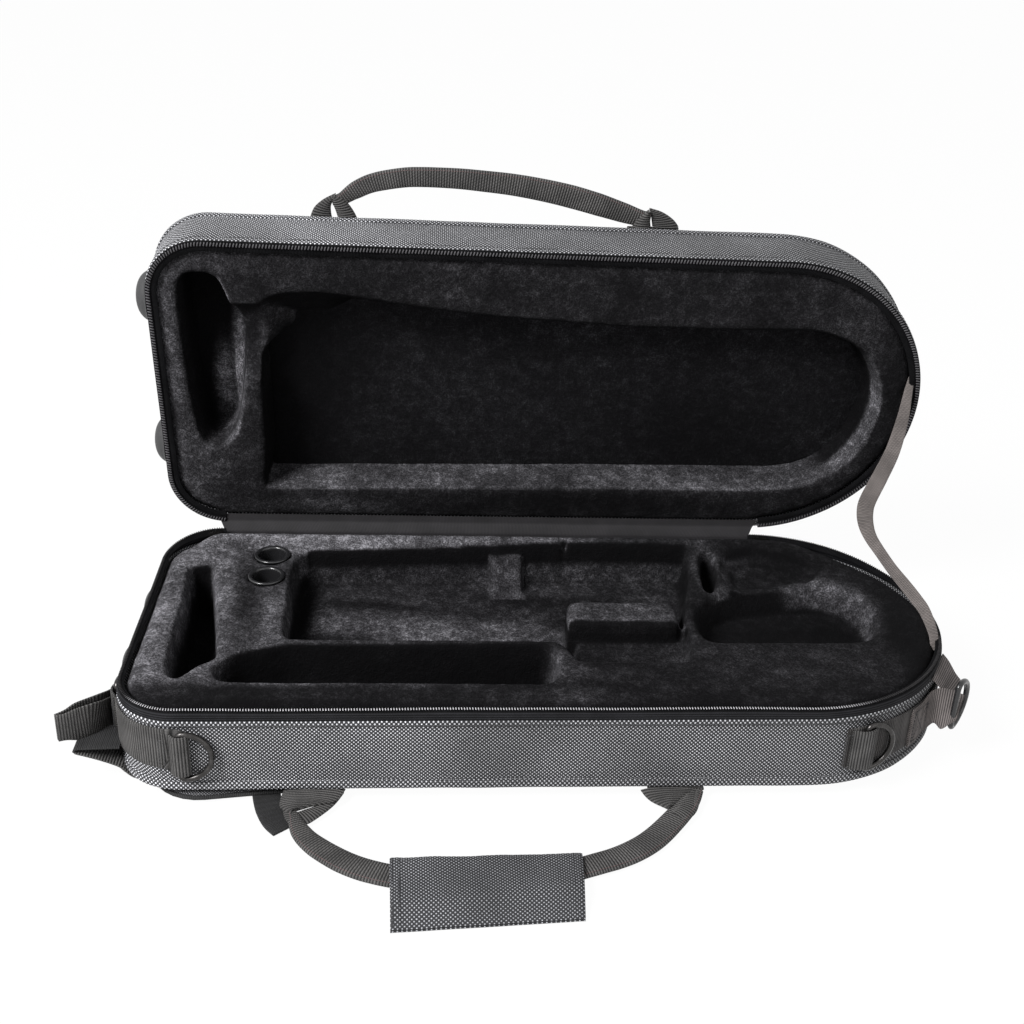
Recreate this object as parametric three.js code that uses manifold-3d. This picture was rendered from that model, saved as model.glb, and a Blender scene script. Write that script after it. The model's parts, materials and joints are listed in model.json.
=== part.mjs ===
// Trumpet case, standing open on its base. Millimetres, +Z up.
// The origin is the centre of the base's flat underside, +X towards the round end and +Y towards the hinge.
// The lid is drawn closed, in the base's own coordinates, and turned open about the hinge axis.

import * as THREE from 'three';
import { mergeVertices } from 'three/addons/utils/BufferGeometryUtils.js';
import Module from 'manifold-3d';

const wasm = await Module();
wasm.setup();

// Driving dimensions of the case
const caseLength = 570;
const caseDepth = 238.6;
const frontTaper = 9.1;
const leftCornerRadius = 42.4;
const baseHeight = 65.2;
const lidHeight = 51.2;
const shellWall = 3;
const panelEdgeRadius = 5;
const seat = 0.3;
const overrun = 2;

// The hinge strip folds about an axis behind and below the meeting plane of the zip
const hingeBehind = 6.2;
const hingeBelow = 5.3;
const lidOpenDegrees = 81.5;

// Steps of the drawn curves
const cornerSteps = 8;
const roundEndSteps = 22;
const filletSteps = 3;
const pocketCornerSteps = 4;

const degrees = Math.PI / 180;

// Colours and finishes
function finish(color, roughness, metalness) {
  return { color, roughness, metalness };
}

const finishes = {
  nylon: finish(0x4a4c50, 0.8, 0),
  velvet: finish(0x17171a, 0.95, 0),
  webbing: finish(0x24231f, 0.85, 0),
  ribbon: finish(0x5a5350, 0.8, 0),
  tape: finish(0x2b2b30, 0.9, 0),
  coil: finish(0x55565a, 0.35, 0.3),
  metal: finish(0x3a3632, 0.3, 0.9),
  plastic: finish(0x101011, 0.4, 0),
  rubber: finish(0x1c1c1d, 0.7, 0),
};

// Solids and meshes

function toSolid(geometry) {
  const bare = new THREE.BufferGeometry();
  bare.setAttribute('position', geometry.getAttribute('position').clone());
  if (geometry.index) bare.setIndex(geometry.index.clone());
  const merged = mergeVertices(bare, 1e-4);
  return new wasm.Manifold(new wasm.Mesh({
    numProp: 3,
    vertProperties: new Float32Array(merged.getAttribute('position').array),
    triVerts: new Uint32Array(merged.index.array),
  }));
}

function toGeometry(solid) {
  const mesh = solid.getMesh();
  const geometry = new THREE.BufferGeometry();
  geometry.setAttribute('position', new THREE.BufferAttribute(new Float32Array(mesh.vertProperties), 3));
  geometry.setIndex(Array.from(mesh.triVerts));
  return geometry;
}

function signedVolume(points, faces) {
  let sum = 0;
  const [a, b, c] = [new THREE.Vector3(), new THREE.Vector3(), new THREE.Vector3()];
  for (let i = 0; i < faces.length; i += 3) {
    a.fromArray(points, faces[i] * 3);
    b.fromArray(points, faces[i + 1] * 3);
    c.fromArray(points, faces[i + 2] * 3);
    sum += a.dot(b.cross(c));
  }
  return sum;
}

// A skin through rings that all have the same number of points. Open stacks get a flat cap at each end.
function skin(rings, joined = false) {
  const count = rings[0].length;
  const points = rings.flat().flatMap((p) => [p.x, p.y, p.z]);
  const faces = [];
  const spans = joined ? rings.length : rings.length - 1;
  for (let i = 0; i < spans; i += 1) {
    const low = i * count;
    const high = ((i + 1) % rings.length) * count;
    for (let j = 0; j < count; j += 1) {
      const k = (j + 1) % count;
      faces.push(low + j, low + k, high + k, low + j, high + k, high + j);
    }
  }
  if (!joined) {
    const last = (rings.length - 1) * count;
    for (const [a, b, c] of capFaces(rings[0])) faces.push(c, b, a);
    for (const [a, b, c] of capFaces(rings[rings.length - 1])) faces.push(last + a, last + b, last + c);
  }
  if (signedVolume(points, faces) < 0) faces.reverse();
  const geometry = new THREE.BufferGeometry();
  geometry.setAttribute('position', new THREE.Float32BufferAttribute(points, 3));
  geometry.setIndex(faces);
  return geometry;
}

// Triangles that close a flat ring, found in the ring's own plane
function capFaces(ring) {
  const normal = new THREE.Vector3();
  for (let i = 0; i < ring.length; i += 1) {
    const next = ring[(i + 1) % ring.length];
    normal.add(new THREE.Vector3().crossVectors(ring[i], next));
  }
  normal.normalize();
  const along = new THREE.Vector3().subVectors(ring[1], ring[0]).normalize();
  const across = new THREE.Vector3().crossVectors(normal, along);
  const flat = ring.map((p) => new THREE.Vector2(p.dot(along), p.dot(across)));
  return THREE.ShapeUtils.triangulateShape(flat, []);
}

const group = new THREE.Group();
const lidGroup = new THREE.Group();
group.add(lidGroup);

function addMesh(parent, name, geometry, material) {
  const mesh = new THREE.Mesh(geometry, new THREE.MeshStandardMaterial(material));
  mesh.name = name;
  parent.add(mesh);
  return mesh;
}

// Plan of the case: two left corners, a front edge that tapers, and a round right end

const halfLength = caseLength / 2;
const backY = caseDepth / 2;
const taperSlope = frontTaper / caseLength;
const taperStretch = Math.hypot(1, taperSlope);
const taperAngle = Math.atan(taperSlope);
const roundRadius = (caseDepth - frontTaper) / (1 + taperStretch - taperSlope);
const roundX = halfLength - roundRadius;
const roundY = backY - roundRadius;
const leftX = leftCornerRadius - halfLength;
const backCornerY = backY - leftCornerRadius;
const frontCornerY = -backY + taperSlope * leftCornerRadius + taperStretch * leftCornerRadius;

function arc(x, y, radius, from, to, steps) {
  const points = [];
  for (let i = 0; i <= steps; i += 1) {
    const angle = from + ((to - from) * i) / steps;
    points.push([x + radius * Math.cos(angle), y + radius * Math.sin(angle)]);
  }
  return points;
}

const quarter = 90 * degrees;
const half = 180 * degrees;
const upright = [0, 0, 1];
const bendShare = 0.85;
const edgeShare = 0.48;

// The outline runs from the back wall's left end, round by the left, the front and the round end
function outline(inset) {
  const corner = leftCornerRadius - inset;
  return [
    ...arc(leftX, backCornerY, corner, quarter, half, cornerSteps),
    ...arc(leftX, frontCornerY, corner, half, half + quarter + taperAngle, cornerSteps),
    ...arc(roundX, roundY, roundRadius - inset, taperAngle - quarter, quarter, roundEndSteps),
  ];
}

const roundStart = 2 * (cornerSteps + 1);
const outlineCount = roundStart + roundEndSteps + 1;

function outlineRing(inset, z) {
  return outline(inset).map(([x, y]) => new THREE.Vector3(x, y, z));
}

function frontWallY(x) {
  return -backY + taperSlope * (x + halfLength);
}

// A band of constant section [inset, z] along part of the outline
function outlineBand(section, first, last) {
  const lines = section.map(([inset]) => outline(inset));
  const rings = [];
  for (let i = first; i <= last; i += 1) {
    rings.push(section.map(([, z], k) => new THREE.Vector3(lines[k][i][0], lines[k][i][1], z)));
  }
  return skin(rings);
}

// Rounded polygons

// Corners are [x, y, reach]: the rounding starts that far before the corner, so flat corners bend wide.
// A reach takes less than half of the shorter edge beside it.
function cornerBends(corners) {
  return corners.map(([x, y, wanted], i) => {
    const before = corners[(i + corners.length - 1) % corners.length];
    const after = corners[(i + 1) % corners.length];
    const here = new THREE.Vector2(x, y);
    const back = new THREE.Vector2(before[0], before[1]).sub(here);
    const ahead = new THREE.Vector2(after[0], after[1]).sub(here);
    const reach = Math.min(wanted, edgeShare * Math.min(back.length(), ahead.length()));
    back.normalize();
    ahead.normalize();
    const halfTurn = Math.acos(THREE.MathUtils.clamp(back.dot(ahead), -1, 1)) / 2;
    const radius = reach * Math.tan(halfTurn);
    const centre = back.clone().add(ahead).normalize().multiplyScalar(radius / Math.sin(halfTurn)).add(here);
    const from = back.clone().multiplyScalar(reach).add(here).sub(centre).angle();
    const to = ahead.clone().multiplyScalar(reach).add(here).sub(centre).angle();
    let turn = to - from;
    if (turn > Math.PI) turn -= 2 * Math.PI;
    if (turn < -Math.PI) turn += 2 * Math.PI;
    return { centre, radius, from, turn };
  });
}

// A rounded shape, anticlockwise, and how far it can shrink or grow before its tightest bends vanish
function rounded(corners, steps) {
  const area = THREE.ShapeUtils.area(corners.map(([x, y]) => new THREE.Vector2(x, y)));
  const bends = cornerBends(area < 0 ? [...corners].reverse() : corners);
  const turning = (sign) => bends.filter(({ turn }) => turn * sign > 0);
  const tightest = (sign) => Math.min(...turning(sign).map(({ radius }) => radius));
  return { bends, steps, canShrink: bendShare * tightest(1), canGrow: bendShare * tightest(-1) };
}

// The shape's outline, with every point moved outward by "growth"
function trace({ bends, steps }, growth = 0) {
  return bends.flatMap(({ centre, radius, from, turn }) => (
    arc(centre.x, centre.y, radius + Math.sign(turn) * growth, from, from + turn, steps)
  ));
}

function flatRing(points, z) {
  return points.map(([x, y]) => new THREE.Vector3(x, y, z));
}

// A cavity cutter: a rounded lip at the insert's face, walls that draw in, and a soft floor corner
function pocket(shape, face, floor, { lip = 3, draft = 1, fillet = 3 } = {}) {
  const down = Math.sign(floor - face);
  const mouth = Math.min(lip, shape.canGrow);
  const drawn = Math.min(draft, shape.canShrink / 2);
  const soft = Math.min(fillet, shape.canShrink - drawn);
  return toSolid(skin([
    flatRing(trace(shape, mouth), face - down * overrun),
    flatRing(trace(shape, mouth), face),
    flatRing(trace(shape, mouth / 3), face + down * (lip / 3)),
    flatRing(trace(shape), face + down * lip),
    flatRing(trace(shape, -drawn), floor - down * soft),
    flatRing(trace(shape, -drawn - soft), floor),
  ]));
}

function box(x0, x1, y0, y1, z0, z1) {
  const geometry = new THREE.BoxGeometry(x1 - x0, y1 - y0, z1 - z0);
  return geometry.translate((x0 + x1) / 2, (y0 + y1) / 2, (z0 + z1) / 2);
}

// Flat straps

// Stations are {at: [x, y, z], width, thick}. "face" is the way the strap's flat side looks.
// A standing strap turns its flat side as it goes: "face" is then the way its width runs.
// A station runs along the line between its neighbours, unless it states its own way along.
function strap(stations, face, standing = false) {
  const places = stations.map(({ at }) => new THREE.Vector3(...at));
  const aim = new THREE.Vector3(...face);
  const rings = places.map((place, i) => {
    const before = places[Math.max(i - 1, 0)];
    const after = places[Math.min(i + 1, places.length - 1)];
    const { width, thick, way } = stations[i];
    const along = way ? new THREE.Vector3(...way) : new THREE.Vector3().subVectors(after, before);
    along.normalize();
    const across = standing
      ? aim.clone().addScaledVector(along, -aim.dot(along)).normalize()
      : new THREE.Vector3().crossVectors(along, aim).normalize();
    const through = new THREE.Vector3().crossVectors(across, along).normalize();
    return [[-1, -1], [1, -1], [1, 1], [-1, 1]].map(([a, b]) => place.clone()
      .addScaledVector(across, (a * width) / 2)
      .addScaledVector(through, (b * thick) / 2));
  });
  return skin(rings);
}

function evenStrap(places, width, thick, face, standing = false) {
  return strap(places.map((at) => ({ at, width, thick })), face, standing);
}

// Round bar bent into a closed flat ring. The path lies in the plane of the unit vectors u and v.
function wireRing(path, radius, sides, centre, u, v) {
  const normal = new THREE.Vector3().crossVectors(u, v);
  const inPlane = (a, b) => new THREE.Vector3().addScaledVector(u, a).addScaledVector(v, b);
  const rings = path.map(([a, b], i) => {
    const before = path[(i + path.length - 1) % path.length];
    const after = path[(i + 1) % path.length];
    const side = inPlane(after[1] - before[1], before[0] - after[0]).normalize();
    const place = inPlane(a, b).add(centre);
    return Array.from({ length: sides }, (_, k) => {
      const angle = (2 * Math.PI * k) / sides;
      return place.clone()
        .addScaledVector(side, radius * Math.cos(angle))
        .addScaledVector(normal, radius * Math.sin(angle));
    });
  });
  return skin(rings, true);
}

// Shells

const shellEdgeBelow = 8.2;
const lidEdgeAbove = 3.9;
const baseEdgeZ = baseHeight - shellEdgeBelow;
const lidEdgeZ = baseHeight + lidEdgeAbove;
const lidPanelZ = baseHeight + lidHeight;

// A tray whose flat panel lies at panelZ and whose walls end at edgeZ
function tray(panelZ, edgeZ) {
  const up = Math.sign(edgeZ - panelZ);
  const rings = [];
  for (let i = 0; i <= filletSteps; i += 1) {
    const angle = (quarter * i) / filletSteps;
    const inset = panelEdgeRadius * (1 - Math.sin(angle));
    rings.push(outlineRing(inset, panelZ + up * panelEdgeRadius * (1 - Math.cos(angle))));
  }
  rings.push(outlineRing(0, edgeZ));
  rings.push(outlineRing(shellWall, edgeZ));
  rings.push(outlineRing(shellWall, panelZ + up * shellWall));
  return skin(rings);
}

addMesh(group, 'base_shell', tray(0, baseEdgeZ), finishes.nylon);
addMesh(lidGroup, 'lid_shell', tray(lidPanelZ, lidEdgeZ), finishes.nylon);

// Zip: the base half stands on the base's edge, the lid half lies on the lid's edge

const coilGap = 1;
const coilSize = 2.6;
const coilInset = 0.3;
const tapeThickness = 1.2;
const tapeInset = 1;
const lidTapeWidth = 4;
const lidTapeRise = 2.6;
const lidCoilLateSteps = 2;
const lidCoilEarlySteps = 3;

// Six-sided section of a coil between two heights
function coilSection(low, high) {
  const middle = (low + high) / 2;
  const outer = coilInset;
  const inner = coilInset + coilSize;
  const waist = coilSize / 4;
  return [
    [outer, middle],
    [outer + waist, low],
    [inner - waist, low],
    [inner, middle],
    [inner - waist, high],
    [outer + waist, high],
  ];
}

function boxSection(insetA, insetB, low, high) {
  return [[insetA, low], [insetB, low], [insetB, high], [insetA, high]];
}

const baseCoilTop = baseHeight - coilGap;
const baseCoilLow = baseCoilTop - coilSize;
const lidCoilLow = baseHeight + coilGap;
const lidCoilTop = lidCoilLow + coilSize;
const zipLast = outlineCount - 1;
const lidZipFirst = lidCoilLateSteps;
const lidZipLast = outlineCount - lidCoilEarlySteps;
const tapeSection = boxSection(tapeInset, tapeInset + tapeThickness, baseEdgeZ + seat, baseCoilLow - seat);
const lidTapeInset = coilInset + coilSize + seat;
const lidTapeLow = baseHeight + lidTapeRise;
const lidTapeTop = lidTapeLow + tapeThickness;
const lidTapeSection = boxSection(lidTapeInset, lidTapeInset + lidTapeWidth, lidTapeLow, lidTapeTop);

addMesh(group, 'zip_tape_base', outlineBand(tapeSection, 0, zipLast), finishes.tape);
addMesh(group, 'zip_coil_base', outlineBand(coilSection(baseCoilLow, baseCoilTop), 0, zipLast), finishes.coil);
addMesh(lidGroup, 'zip_tape_lid', outlineBand(lidTapeSection, lidZipFirst, lidZipLast), finishes.tape);
const lidCoilSection = coilSection(lidCoilLow, lidCoilTop);
addMesh(lidGroup, 'zip_coil_lid', outlineBand(lidCoilSection, lidZipFirst, lidZipLast), finishes.coil);

// Hinge strip: one leaf sewn to each back edge, both folding about the hinge axis

const hingeY = backY + hingeBehind;
const hingeZ = baseHeight - hingeBelow;
const leafThickness = 0.9;
const leafBead = 1.2;
const leafBeadSteps = 6;
const leafTabInset = 1;
const leafTabWidth = 1.8;
const leafTabHeight = 4;
const leafEndClear = 1.5;
const lidTabHeight = 2.2;
const leafLeft = leftX + leafEndClear;
const leafRight = roundX - leafEndClear;

// Section of a leaf in Y and Z: a tab on the wall's edge and an arm towards the axis.
// The base leaf's arm ends in a round bead about the axis. The lid leaf's arm ends flat against that bead.
function leafSection(tabLow, tabHigh, armZ, beaded) {
  const wallSide = backY - leafTabInset;
  const inner = wallSide - leafTabWidth;
  const armRoot = new THREE.Vector2(wallSide, armZ);
  const axis = new THREE.Vector2(hingeY, hingeZ);
  const along = axis.clone().sub(armRoot).normalize();
  const tip = axis.clone().addScaledVector(along, -leafBead - seat);
  const side = new THREE.Vector2(-along.y, along.x).multiplyScalar(leafThickness / 2);
  const flatEnd = [[tip.x - side.x, tip.y - side.y], [tip.x + side.x, tip.y + side.y]];
  const neck = along.angle() + half;
  const spread = Math.asin(leafThickness / 2 / leafBead);
  const bead = arc(hingeY, hingeZ, leafBead, neck + spread, neck + 2 * half - spread, leafBeadSteps);
  return [
    [inner, tabLow],
    [wallSide, tabLow],
    [wallSide, armRoot.y - leafThickness / 2],
    ...(beaded ? bead : flatEnd),
    [wallSide, armRoot.y + leafThickness],
    [wallSide, tabHigh],
    [inner, tabHigh],
  ];
}

function leaf(section) {
  return skin([leafLeft, leafRight].map((x) => section.map(([y, z]) => new THREE.Vector3(x, y, z))));
}

const baseLeafLow = baseEdgeZ + seat;
const baseLeafHigh = baseLeafLow + leafTabHeight;
const lidLeafHigh = lidEdgeZ - seat;
const lidLeafLow = lidLeafHigh - lidTabHeight;
const baseArmZ = baseLeafHigh - leafThickness;
const lidArmZ = lidLeafLow + leafThickness / 2;

const baseLeaf = leafSection(baseLeafLow, baseLeafHigh, baseArmZ, true);
const lidLeaf = leafSection(lidLeafLow, lidLeafHigh, lidArmZ, false);
addMesh(group, 'hinge_leaf_base', leaf(baseLeaf), finishes.tape);
addMesh(lidGroup, 'hinge_leaf_lid', leaf(lidLeaf), finishes.tape);

// Base insert: velvet over foam, with a cavity for each thing that the case holds

const insertInset = shellWall + seat;
const insertFloorZ = shellWall + seat;
const insertDrop = 4;
const insertTop = baseHeight - insertDrop;
const lidInsertRise = 4;
const rollInsetsShares = [0, 0.08, 0.3, 0.62, 1];
const rollDropsShares = [1, 0.55, 0.21, 0.05, 0];
const rollWidth = 13;
const rollDrop = 11;

// A block with a rolled edge, from a flat back at backZ to its face at faceZ
function insertBlock(backZ, faceZ) {
  const up = Math.sign(faceZ - backZ);
  const rings = [outlineRing(insertInset, backZ)];
  rollInsetsShares.forEach((share, i) => {
    rings.push(outlineRing(insertInset + rollWidth * share, faceZ - up * rollDrop * rollDropsShares[i]));
  });
  return toSolid(skin(rings));
}

// Corner lists are shares of half the case's length and half its depth.
// A third share, of half the depth, is a corner's own reach.
function cornersOf(shares, reach = 0) {
  return shares.map(([x, y, own]) => [x * halfLength, y * backY, own ? own * backY : reach]);
}

// Cavities of the base insert, with their floors
const bellSlotFloor = 11;
const bellSlotReach = 5;
const bellSlotShares = [
  [-0.8842, 0.57, 0.0335], [-0.8526, 0.5532, 0.0335], [-0.8105, -0.4191, 0.0754],
  [-0.8281, -0.6203, 0.0671], [-0.8632, -0.6622], [-0.8912, -0.5197],
];

const bellThroatFloor = 44;
const bellThroatReach = 6;
const bellThroatShares = [
  [-0.8561, 0.3688], [-0.8281, 0.3018], [-0.7684, -0.285], [-0.7754, -0.4694], [-0.8421, -0.4862],
];

const accessoryFloor = 19;
const accessoryReach = 9;
const accessorySlotShares = [
  [-0.814, -0.4526], [-0.7544, -0.3269], [-0.5965, -0.2766], [-0.007, -0.3772], [0.0175, -0.4526],
  [0.0175, -0.5868], [-0.0105, -0.6706], [-0.7298, -0.7125], [-0.8, -0.6203],
];

const bodyFloor = 31;
const bodyReach = 8;
const bodyRecessShares = [
  [-0.6456, 0.8634, 0.1006], [-0.1193, 0.8718, 0.0838], [-0.0281, 0.8215, 0.0838], [0.1193, 0.8215],
  [0.1193, -0.2012], [-0.014, -0.2766], [-0.6105, -0.2431],
];

const slideFloor = 31;
const slideReach = 7;
const slideRecessShares = [
  [0.0772, 0.922], [0.414, 0.922], [0.4175, 0.0838], [0.0772, 0.0838],
];

const valveFloor = 31;
const valveReach = 7;
const valveRecessShares = [
  [0.0491, 0.3521], [0.4351, 0.3521], [0.4281, -0.3856], [0.4526, -0.6706], [0.1053, -0.6706],
  [0.1018, -0.4359], [0.0491, -0.3353],
];

const pitFloor = 38;
const pitReach = 6;
const ovalPitShares = [
  [0.4281, 0.8466], [0.4772, 0.8466], [0.4807, 0.3688], [0.4351, 0.3437],
];

const bowFloor = 38;
const bowReach = 14;
const bowRecessShares = [
  [0.414, 0.4862], [0.4912, 0.5532], [0.6877, 0.6035], [0.8281, 0.3856], [0.8596, 0.0838],
  [0.814, -0.2179], [0.7193, -0.2347], [0.414, -0.2347],
];

const bowStepFloor = 30;
const bowStepReach = 10;
const bowStepShares = [
  [0.4421, 0.2515], [0.6175, 0.2682], [0.7298, 0.1174], [0.7719, -0.0838], [0.7579, -0.2012],
  [0.4491, -0.2012],
];

const crescentFloor = 24;
const crescentReach = 3;
const crescentSlitShares = [
  [0.7754, 0.3437], [0.8035, 0.3185], [0.8491, 0.0671, 0.0838], [0.8316, -0.1509], [0.8105, -0.1509],
  [0.8175, 0.0671, 0.0838],
];

const cupPlaceShares = [
  [-0.7123, 0.7158], [-0.7147, 0.4468],
];
const cupPlaces = cornersOf(cupPlaceShares);
const cupBore = 10.2;
const cupSleeve = 11.4;
const cupFlange = 13.5;
const cupFlangeRise = 1.6;
const cupSleeveLength = 32;
const cupEdge = 0.6;
const cupDepth = 42;
const cupSides = 20;

function cavity(shares, reach, floor, form) {
  return pocket(rounded(cornersOf(shares, reach), pocketCornerSteps), insertTop, floor, form);
}

function cupHole([x, y]) {
  const hole = new THREE.CylinderGeometry(cupSleeve + seat, cupSleeve + seat, cupDepth + overrun, cupSides);
  hole.rotateX(quarter);
  hole.translate(x, y, insertTop + overrun - (cupDepth + overrun) / 2);
  return toSolid(hole);
}

function baseInsert() {
  const wide = { lip: 4, draft: 3, fillet: 5 };
  const steep = { lip: 3, draft: 1.5, fillet: 4 };
  const cuts = [
    cavity(bellSlotShares, bellSlotReach, bellSlotFloor, { lip: 3, draft: 1, fillet: 2 }),
    cavity(bellThroatShares, bellThroatReach, bellThroatFloor, { lip: 5, draft: 3, fillet: 2 }),
    cavity(accessorySlotShares, accessoryReach, accessoryFloor, wide),
    cavity(bodyRecessShares, bodyReach, bodyFloor, { lip: 3, draft: 5, fillet: 3 }),
    cavity(slideRecessShares, slideReach, slideFloor, steep),
    cavity(valveRecessShares, valveReach, valveFloor, { lip: 3, draft: 0.6, fillet: 0.8 }),
    cavity(ovalPitShares, pitReach, pitFloor, { lip: 2, draft: 1, fillet: 2 }),
    cavity(bowRecessShares, bowReach, bowFloor, { lip: 6, draft: 9, fillet: 3 }),
    cavity(bowStepShares, bowStepReach, bowStepFloor, steep),
    cavity(crescentSlitShares, crescentReach, crescentFloor, { lip: 1.5, draft: 0.3, fillet: 1 }),
    ...cupPlaces.map(cupHole),
  ];
  return cuts.reduce((block, cut) => block.subtract(cut), insertBlock(insertFloorZ, insertTop));
}

addMesh(group, 'base_insert', toGeometry(baseInsert()), finishes.velvet);

// Valve block and the lower step in front of it, both standing on the valve recess's floor

const blockShares = [
  [0.0702, 0.1844, 0.0754], [0.407, 0.1844, 0.1174], [0.4105, -0.1257, 0.0419], [0.0912, -0.1257, 0.0419],
];
const blockHeight = 28;
const blockRoll = 8;
const stepShares = [
  [0.1193, -0.1308, 0.0251], [0.4105, -0.1308, 0.0251], [0.4123, -0.3856, 0.0671],
  [0.4333, -0.6203, 0.0335], [0.1228, -0.6203, 0.0335],
];
const stepHeight = 13.5;
const stepRoll = 3;

// A padded block on a floor, with a rolled top edge
function paddedBlock(shares, floor, height, roll) {
  const shape = rounded(cornersOf(shares), pocketCornerSteps);
  const low = floor + seat;
  const top = low + height;
  const drawIn = Math.min(roll, shape.canShrink);
  return skin([
    flatRing(trace(shape), low),
    flatRing(trace(shape), top - roll),
    flatRing(trace(shape, -drawIn * rollInsetsShares[2]), top - roll * rollDropsShares[1]),
    flatRing(trace(shape, -drawIn), top),
  ]);
}

addMesh(group, 'valve_block', paddedBlock(blockShares, valveFloor, blockHeight, blockRoll), finishes.velvet);
addMesh(group, 'valve_step', paddedBlock(stepShares, valveFloor, stepHeight, stepRoll), finishes.velvet);

// Mouthpiece rings: a flanged sleeve in each hole

function cupRing() {
  const low = insertTop + seat - cupSleeveLength;
  const flangeLow = insertTop + seat;
  const top = flangeLow + cupFlangeRise;
  const profile = [
    [cupBore, low],
    [cupSleeve, low],
    [cupSleeve, flangeLow],
    [cupFlange, flangeLow],
    [cupFlange, top - cupEdge],
    [cupFlange - cupEdge, top],
    [cupBore + cupEdge, top],
    [cupBore, top - cupEdge],
  ];
  const rings = [];
  for (let i = 0; i < cupSides; i += 1) {
    const angle = (2 * Math.PI * i) / cupSides;
    rings.push(profile.map(([r, z]) => new THREE.Vector3(r * Math.cos(angle), r * Math.sin(angle), z)));
  }
  return skin(rings, true);
}

['mouthpiece_ring_rear', 'mouthpiece_ring_front'].forEach((name, i) => {
  addMesh(group, name, cupRing(), finishes.plastic).position.set(cupPlaces[i][0], cupPlaces[i][1], 0);
});

// Lid insert: the bell slot, the scooped divider and the large cavity with its flat floor panel

const lidFaceZ = baseHeight + lidInsertRise;
const lidInsertBackZ = lidPanelZ - shellWall - seat;
const lidBellFloor = 44;
const lidBellReach = 6;
const lidBellSlotShares = [
  [-0.8912, -0.7712], [-0.8316, -0.7795], [-0.7789, -0.3018, 0.1174], [-0.8, 0.2263, 0.0838],
  [-0.8316, 0.3772], [-0.8877, 0.3856],
];
const lidCavityReach = 12;
const lidCavityShares = [
  [-0.7158, -0.6287], [-0.5439, -0.6538, 0.1676], [0.0316, -0.5281, 0.3353], [0.386, -0.4694, 0.2515],
  [0.7193, -0.4778, 0.2012], [0.8456, -0.3185, 0.1341], [0.8772, 0.0168, 0.2012], [0.8281, 0.3856, 0.1509],
  [0.6596, 0.5951, 0.2347], [-0.7439, 0.746],
];
const lidFloorRise = 34;
const floorPanelThickness = 2.4;
const throatY = -38;
const throatRise = -16;
const throatRadius = 38;
const throatLeft = -238;
const throatRight = -196;
const throatSides = 28;

function lidShape(shares, reach) {
  return rounded(cornersOf(shares, reach), pocketCornerSteps);
}

const floorPanelLowZ = baseHeight + lidFloorRise;
const floorPanelTopZ = floorPanelLowZ + floorPanelThickness;
const cavityWall = { lip: 6, draft: 1, fillet: 0.6 };
const bellWall = { lip: 6, draft: 2 };

function lidInsert() {
  const throat = new THREE.CylinderGeometry(throatRadius, throatRadius, throatRight - throatLeft, throatSides);
  throat.rotateZ(quarter);
  throat.translate((throatLeft + throatRight) / 2, throatY, baseHeight + throatRise);
  const bellFloorZ = baseHeight + lidBellFloor;
  const bell = pocket(lidShape(lidBellSlotShares, lidBellReach), lidFaceZ, bellFloorZ, bellWall);
  const hall = pocket(lidShape(lidCavityShares, lidCavityReach), lidFaceZ, floorPanelTopZ + seat, cavityWall);
  return insertBlock(lidInsertBackZ, lidFaceZ).subtract(bell).subtract(hall).subtract(toSolid(throat));
}

addMesh(lidGroup, 'lid_insert', toGeometry(lidInsert()), finishes.velvet);

function lidFloorPanel() {
  const clear = cavityWall.draft + cavityWall.fillet + seat;
  const path = trace(lidShape(lidCavityShares, lidCavityReach), -clear);
  return skin([flatRing(path, floorPanelLowZ), flatRing(path, floorPanelTopZ)]);
}

addMesh(lidGroup, 'lid_floor_panel', lidFloorPanel(), finishes.velvet);

// Webbing bands, loops and D-rings on the front corners

const webThickness = 1.7;
const bandLowZ = 14;
const bandHeight = 31;
const ringWire = 2;
const ringSides = 8;
const ringReach = 22;
const ringHalfHeight = 19.5;
const ringBowRadius = 17;
const ringHeelRadius = 3;
const ringLoopLength = 16;
const leftRingX = -240;
const rightRingAngle = -71 * degrees;
const rightBandFrom = roundStart + 4;
const rightBandTo = roundStart + 8;

const bandSection = boxSection(-seat - webThickness, -seat, bandLowZ, bandLowZ + bandHeight);
const ringMiddleZ = bandLowZ + bandHeight / 2;
const barOut = seat + webThickness + seat + ringWire;

addMesh(group, 'side_band_left', outlineBand(bandSection, cornerSteps + 2, roundStart - 3), finishes.webbing);
addMesh(group, 'side_band_right', outlineBand(bandSection, rightBandFrom, rightBandTo), finishes.webbing);

const ringPath = trace(rounded([
  [0, -ringHalfHeight, ringHeelRadius],
  [ringReach, -ringHalfHeight, ringBowRadius],
  [ringReach, ringHalfHeight, ringBowRadius],
  [0, ringHalfHeight, ringHeelRadius],
], pocketCornerSteps));

// Webbing folded round a ring's bar, drawn in plan with the wall along +X and outward as -Y
function ringLoop() {
  const shape = new THREE.Shape();
  const outer = ringWire + seat + webThickness;
  shape.moveTo(-ringLoopLength, barOut - seat);
  shape.lineTo(-ringLoopLength, barOut - seat - 2 * webThickness);
  shape.lineTo(-outer, -outer);
  shape.absarc(0, 0, outer, -quarter, quarter, false);
  const hole = new THREE.Path();
  hole.absarc(0, 0, ringWire + seat, 0, 2 * Math.PI, false);
  shape.holes.push(hole);
  const geometry = new THREE.ExtrudeGeometry(shape, {
    depth: bandHeight,
    bevelEnabled: false,
    curveSegments: ringSides,
  });
  geometry.translate(0, 0, bandLowZ);
  return toGeometry(toSolid(geometry));
}

// A place on the base's wall, turned so that -Y looks outward and +X runs along the wall
function wallStation(x, y, outward) {
  const station = new THREE.Group();
  station.position.set(x, y, 0);
  station.rotation.z = outward + quarter;
  group.add(station);
  return station;
}

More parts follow.
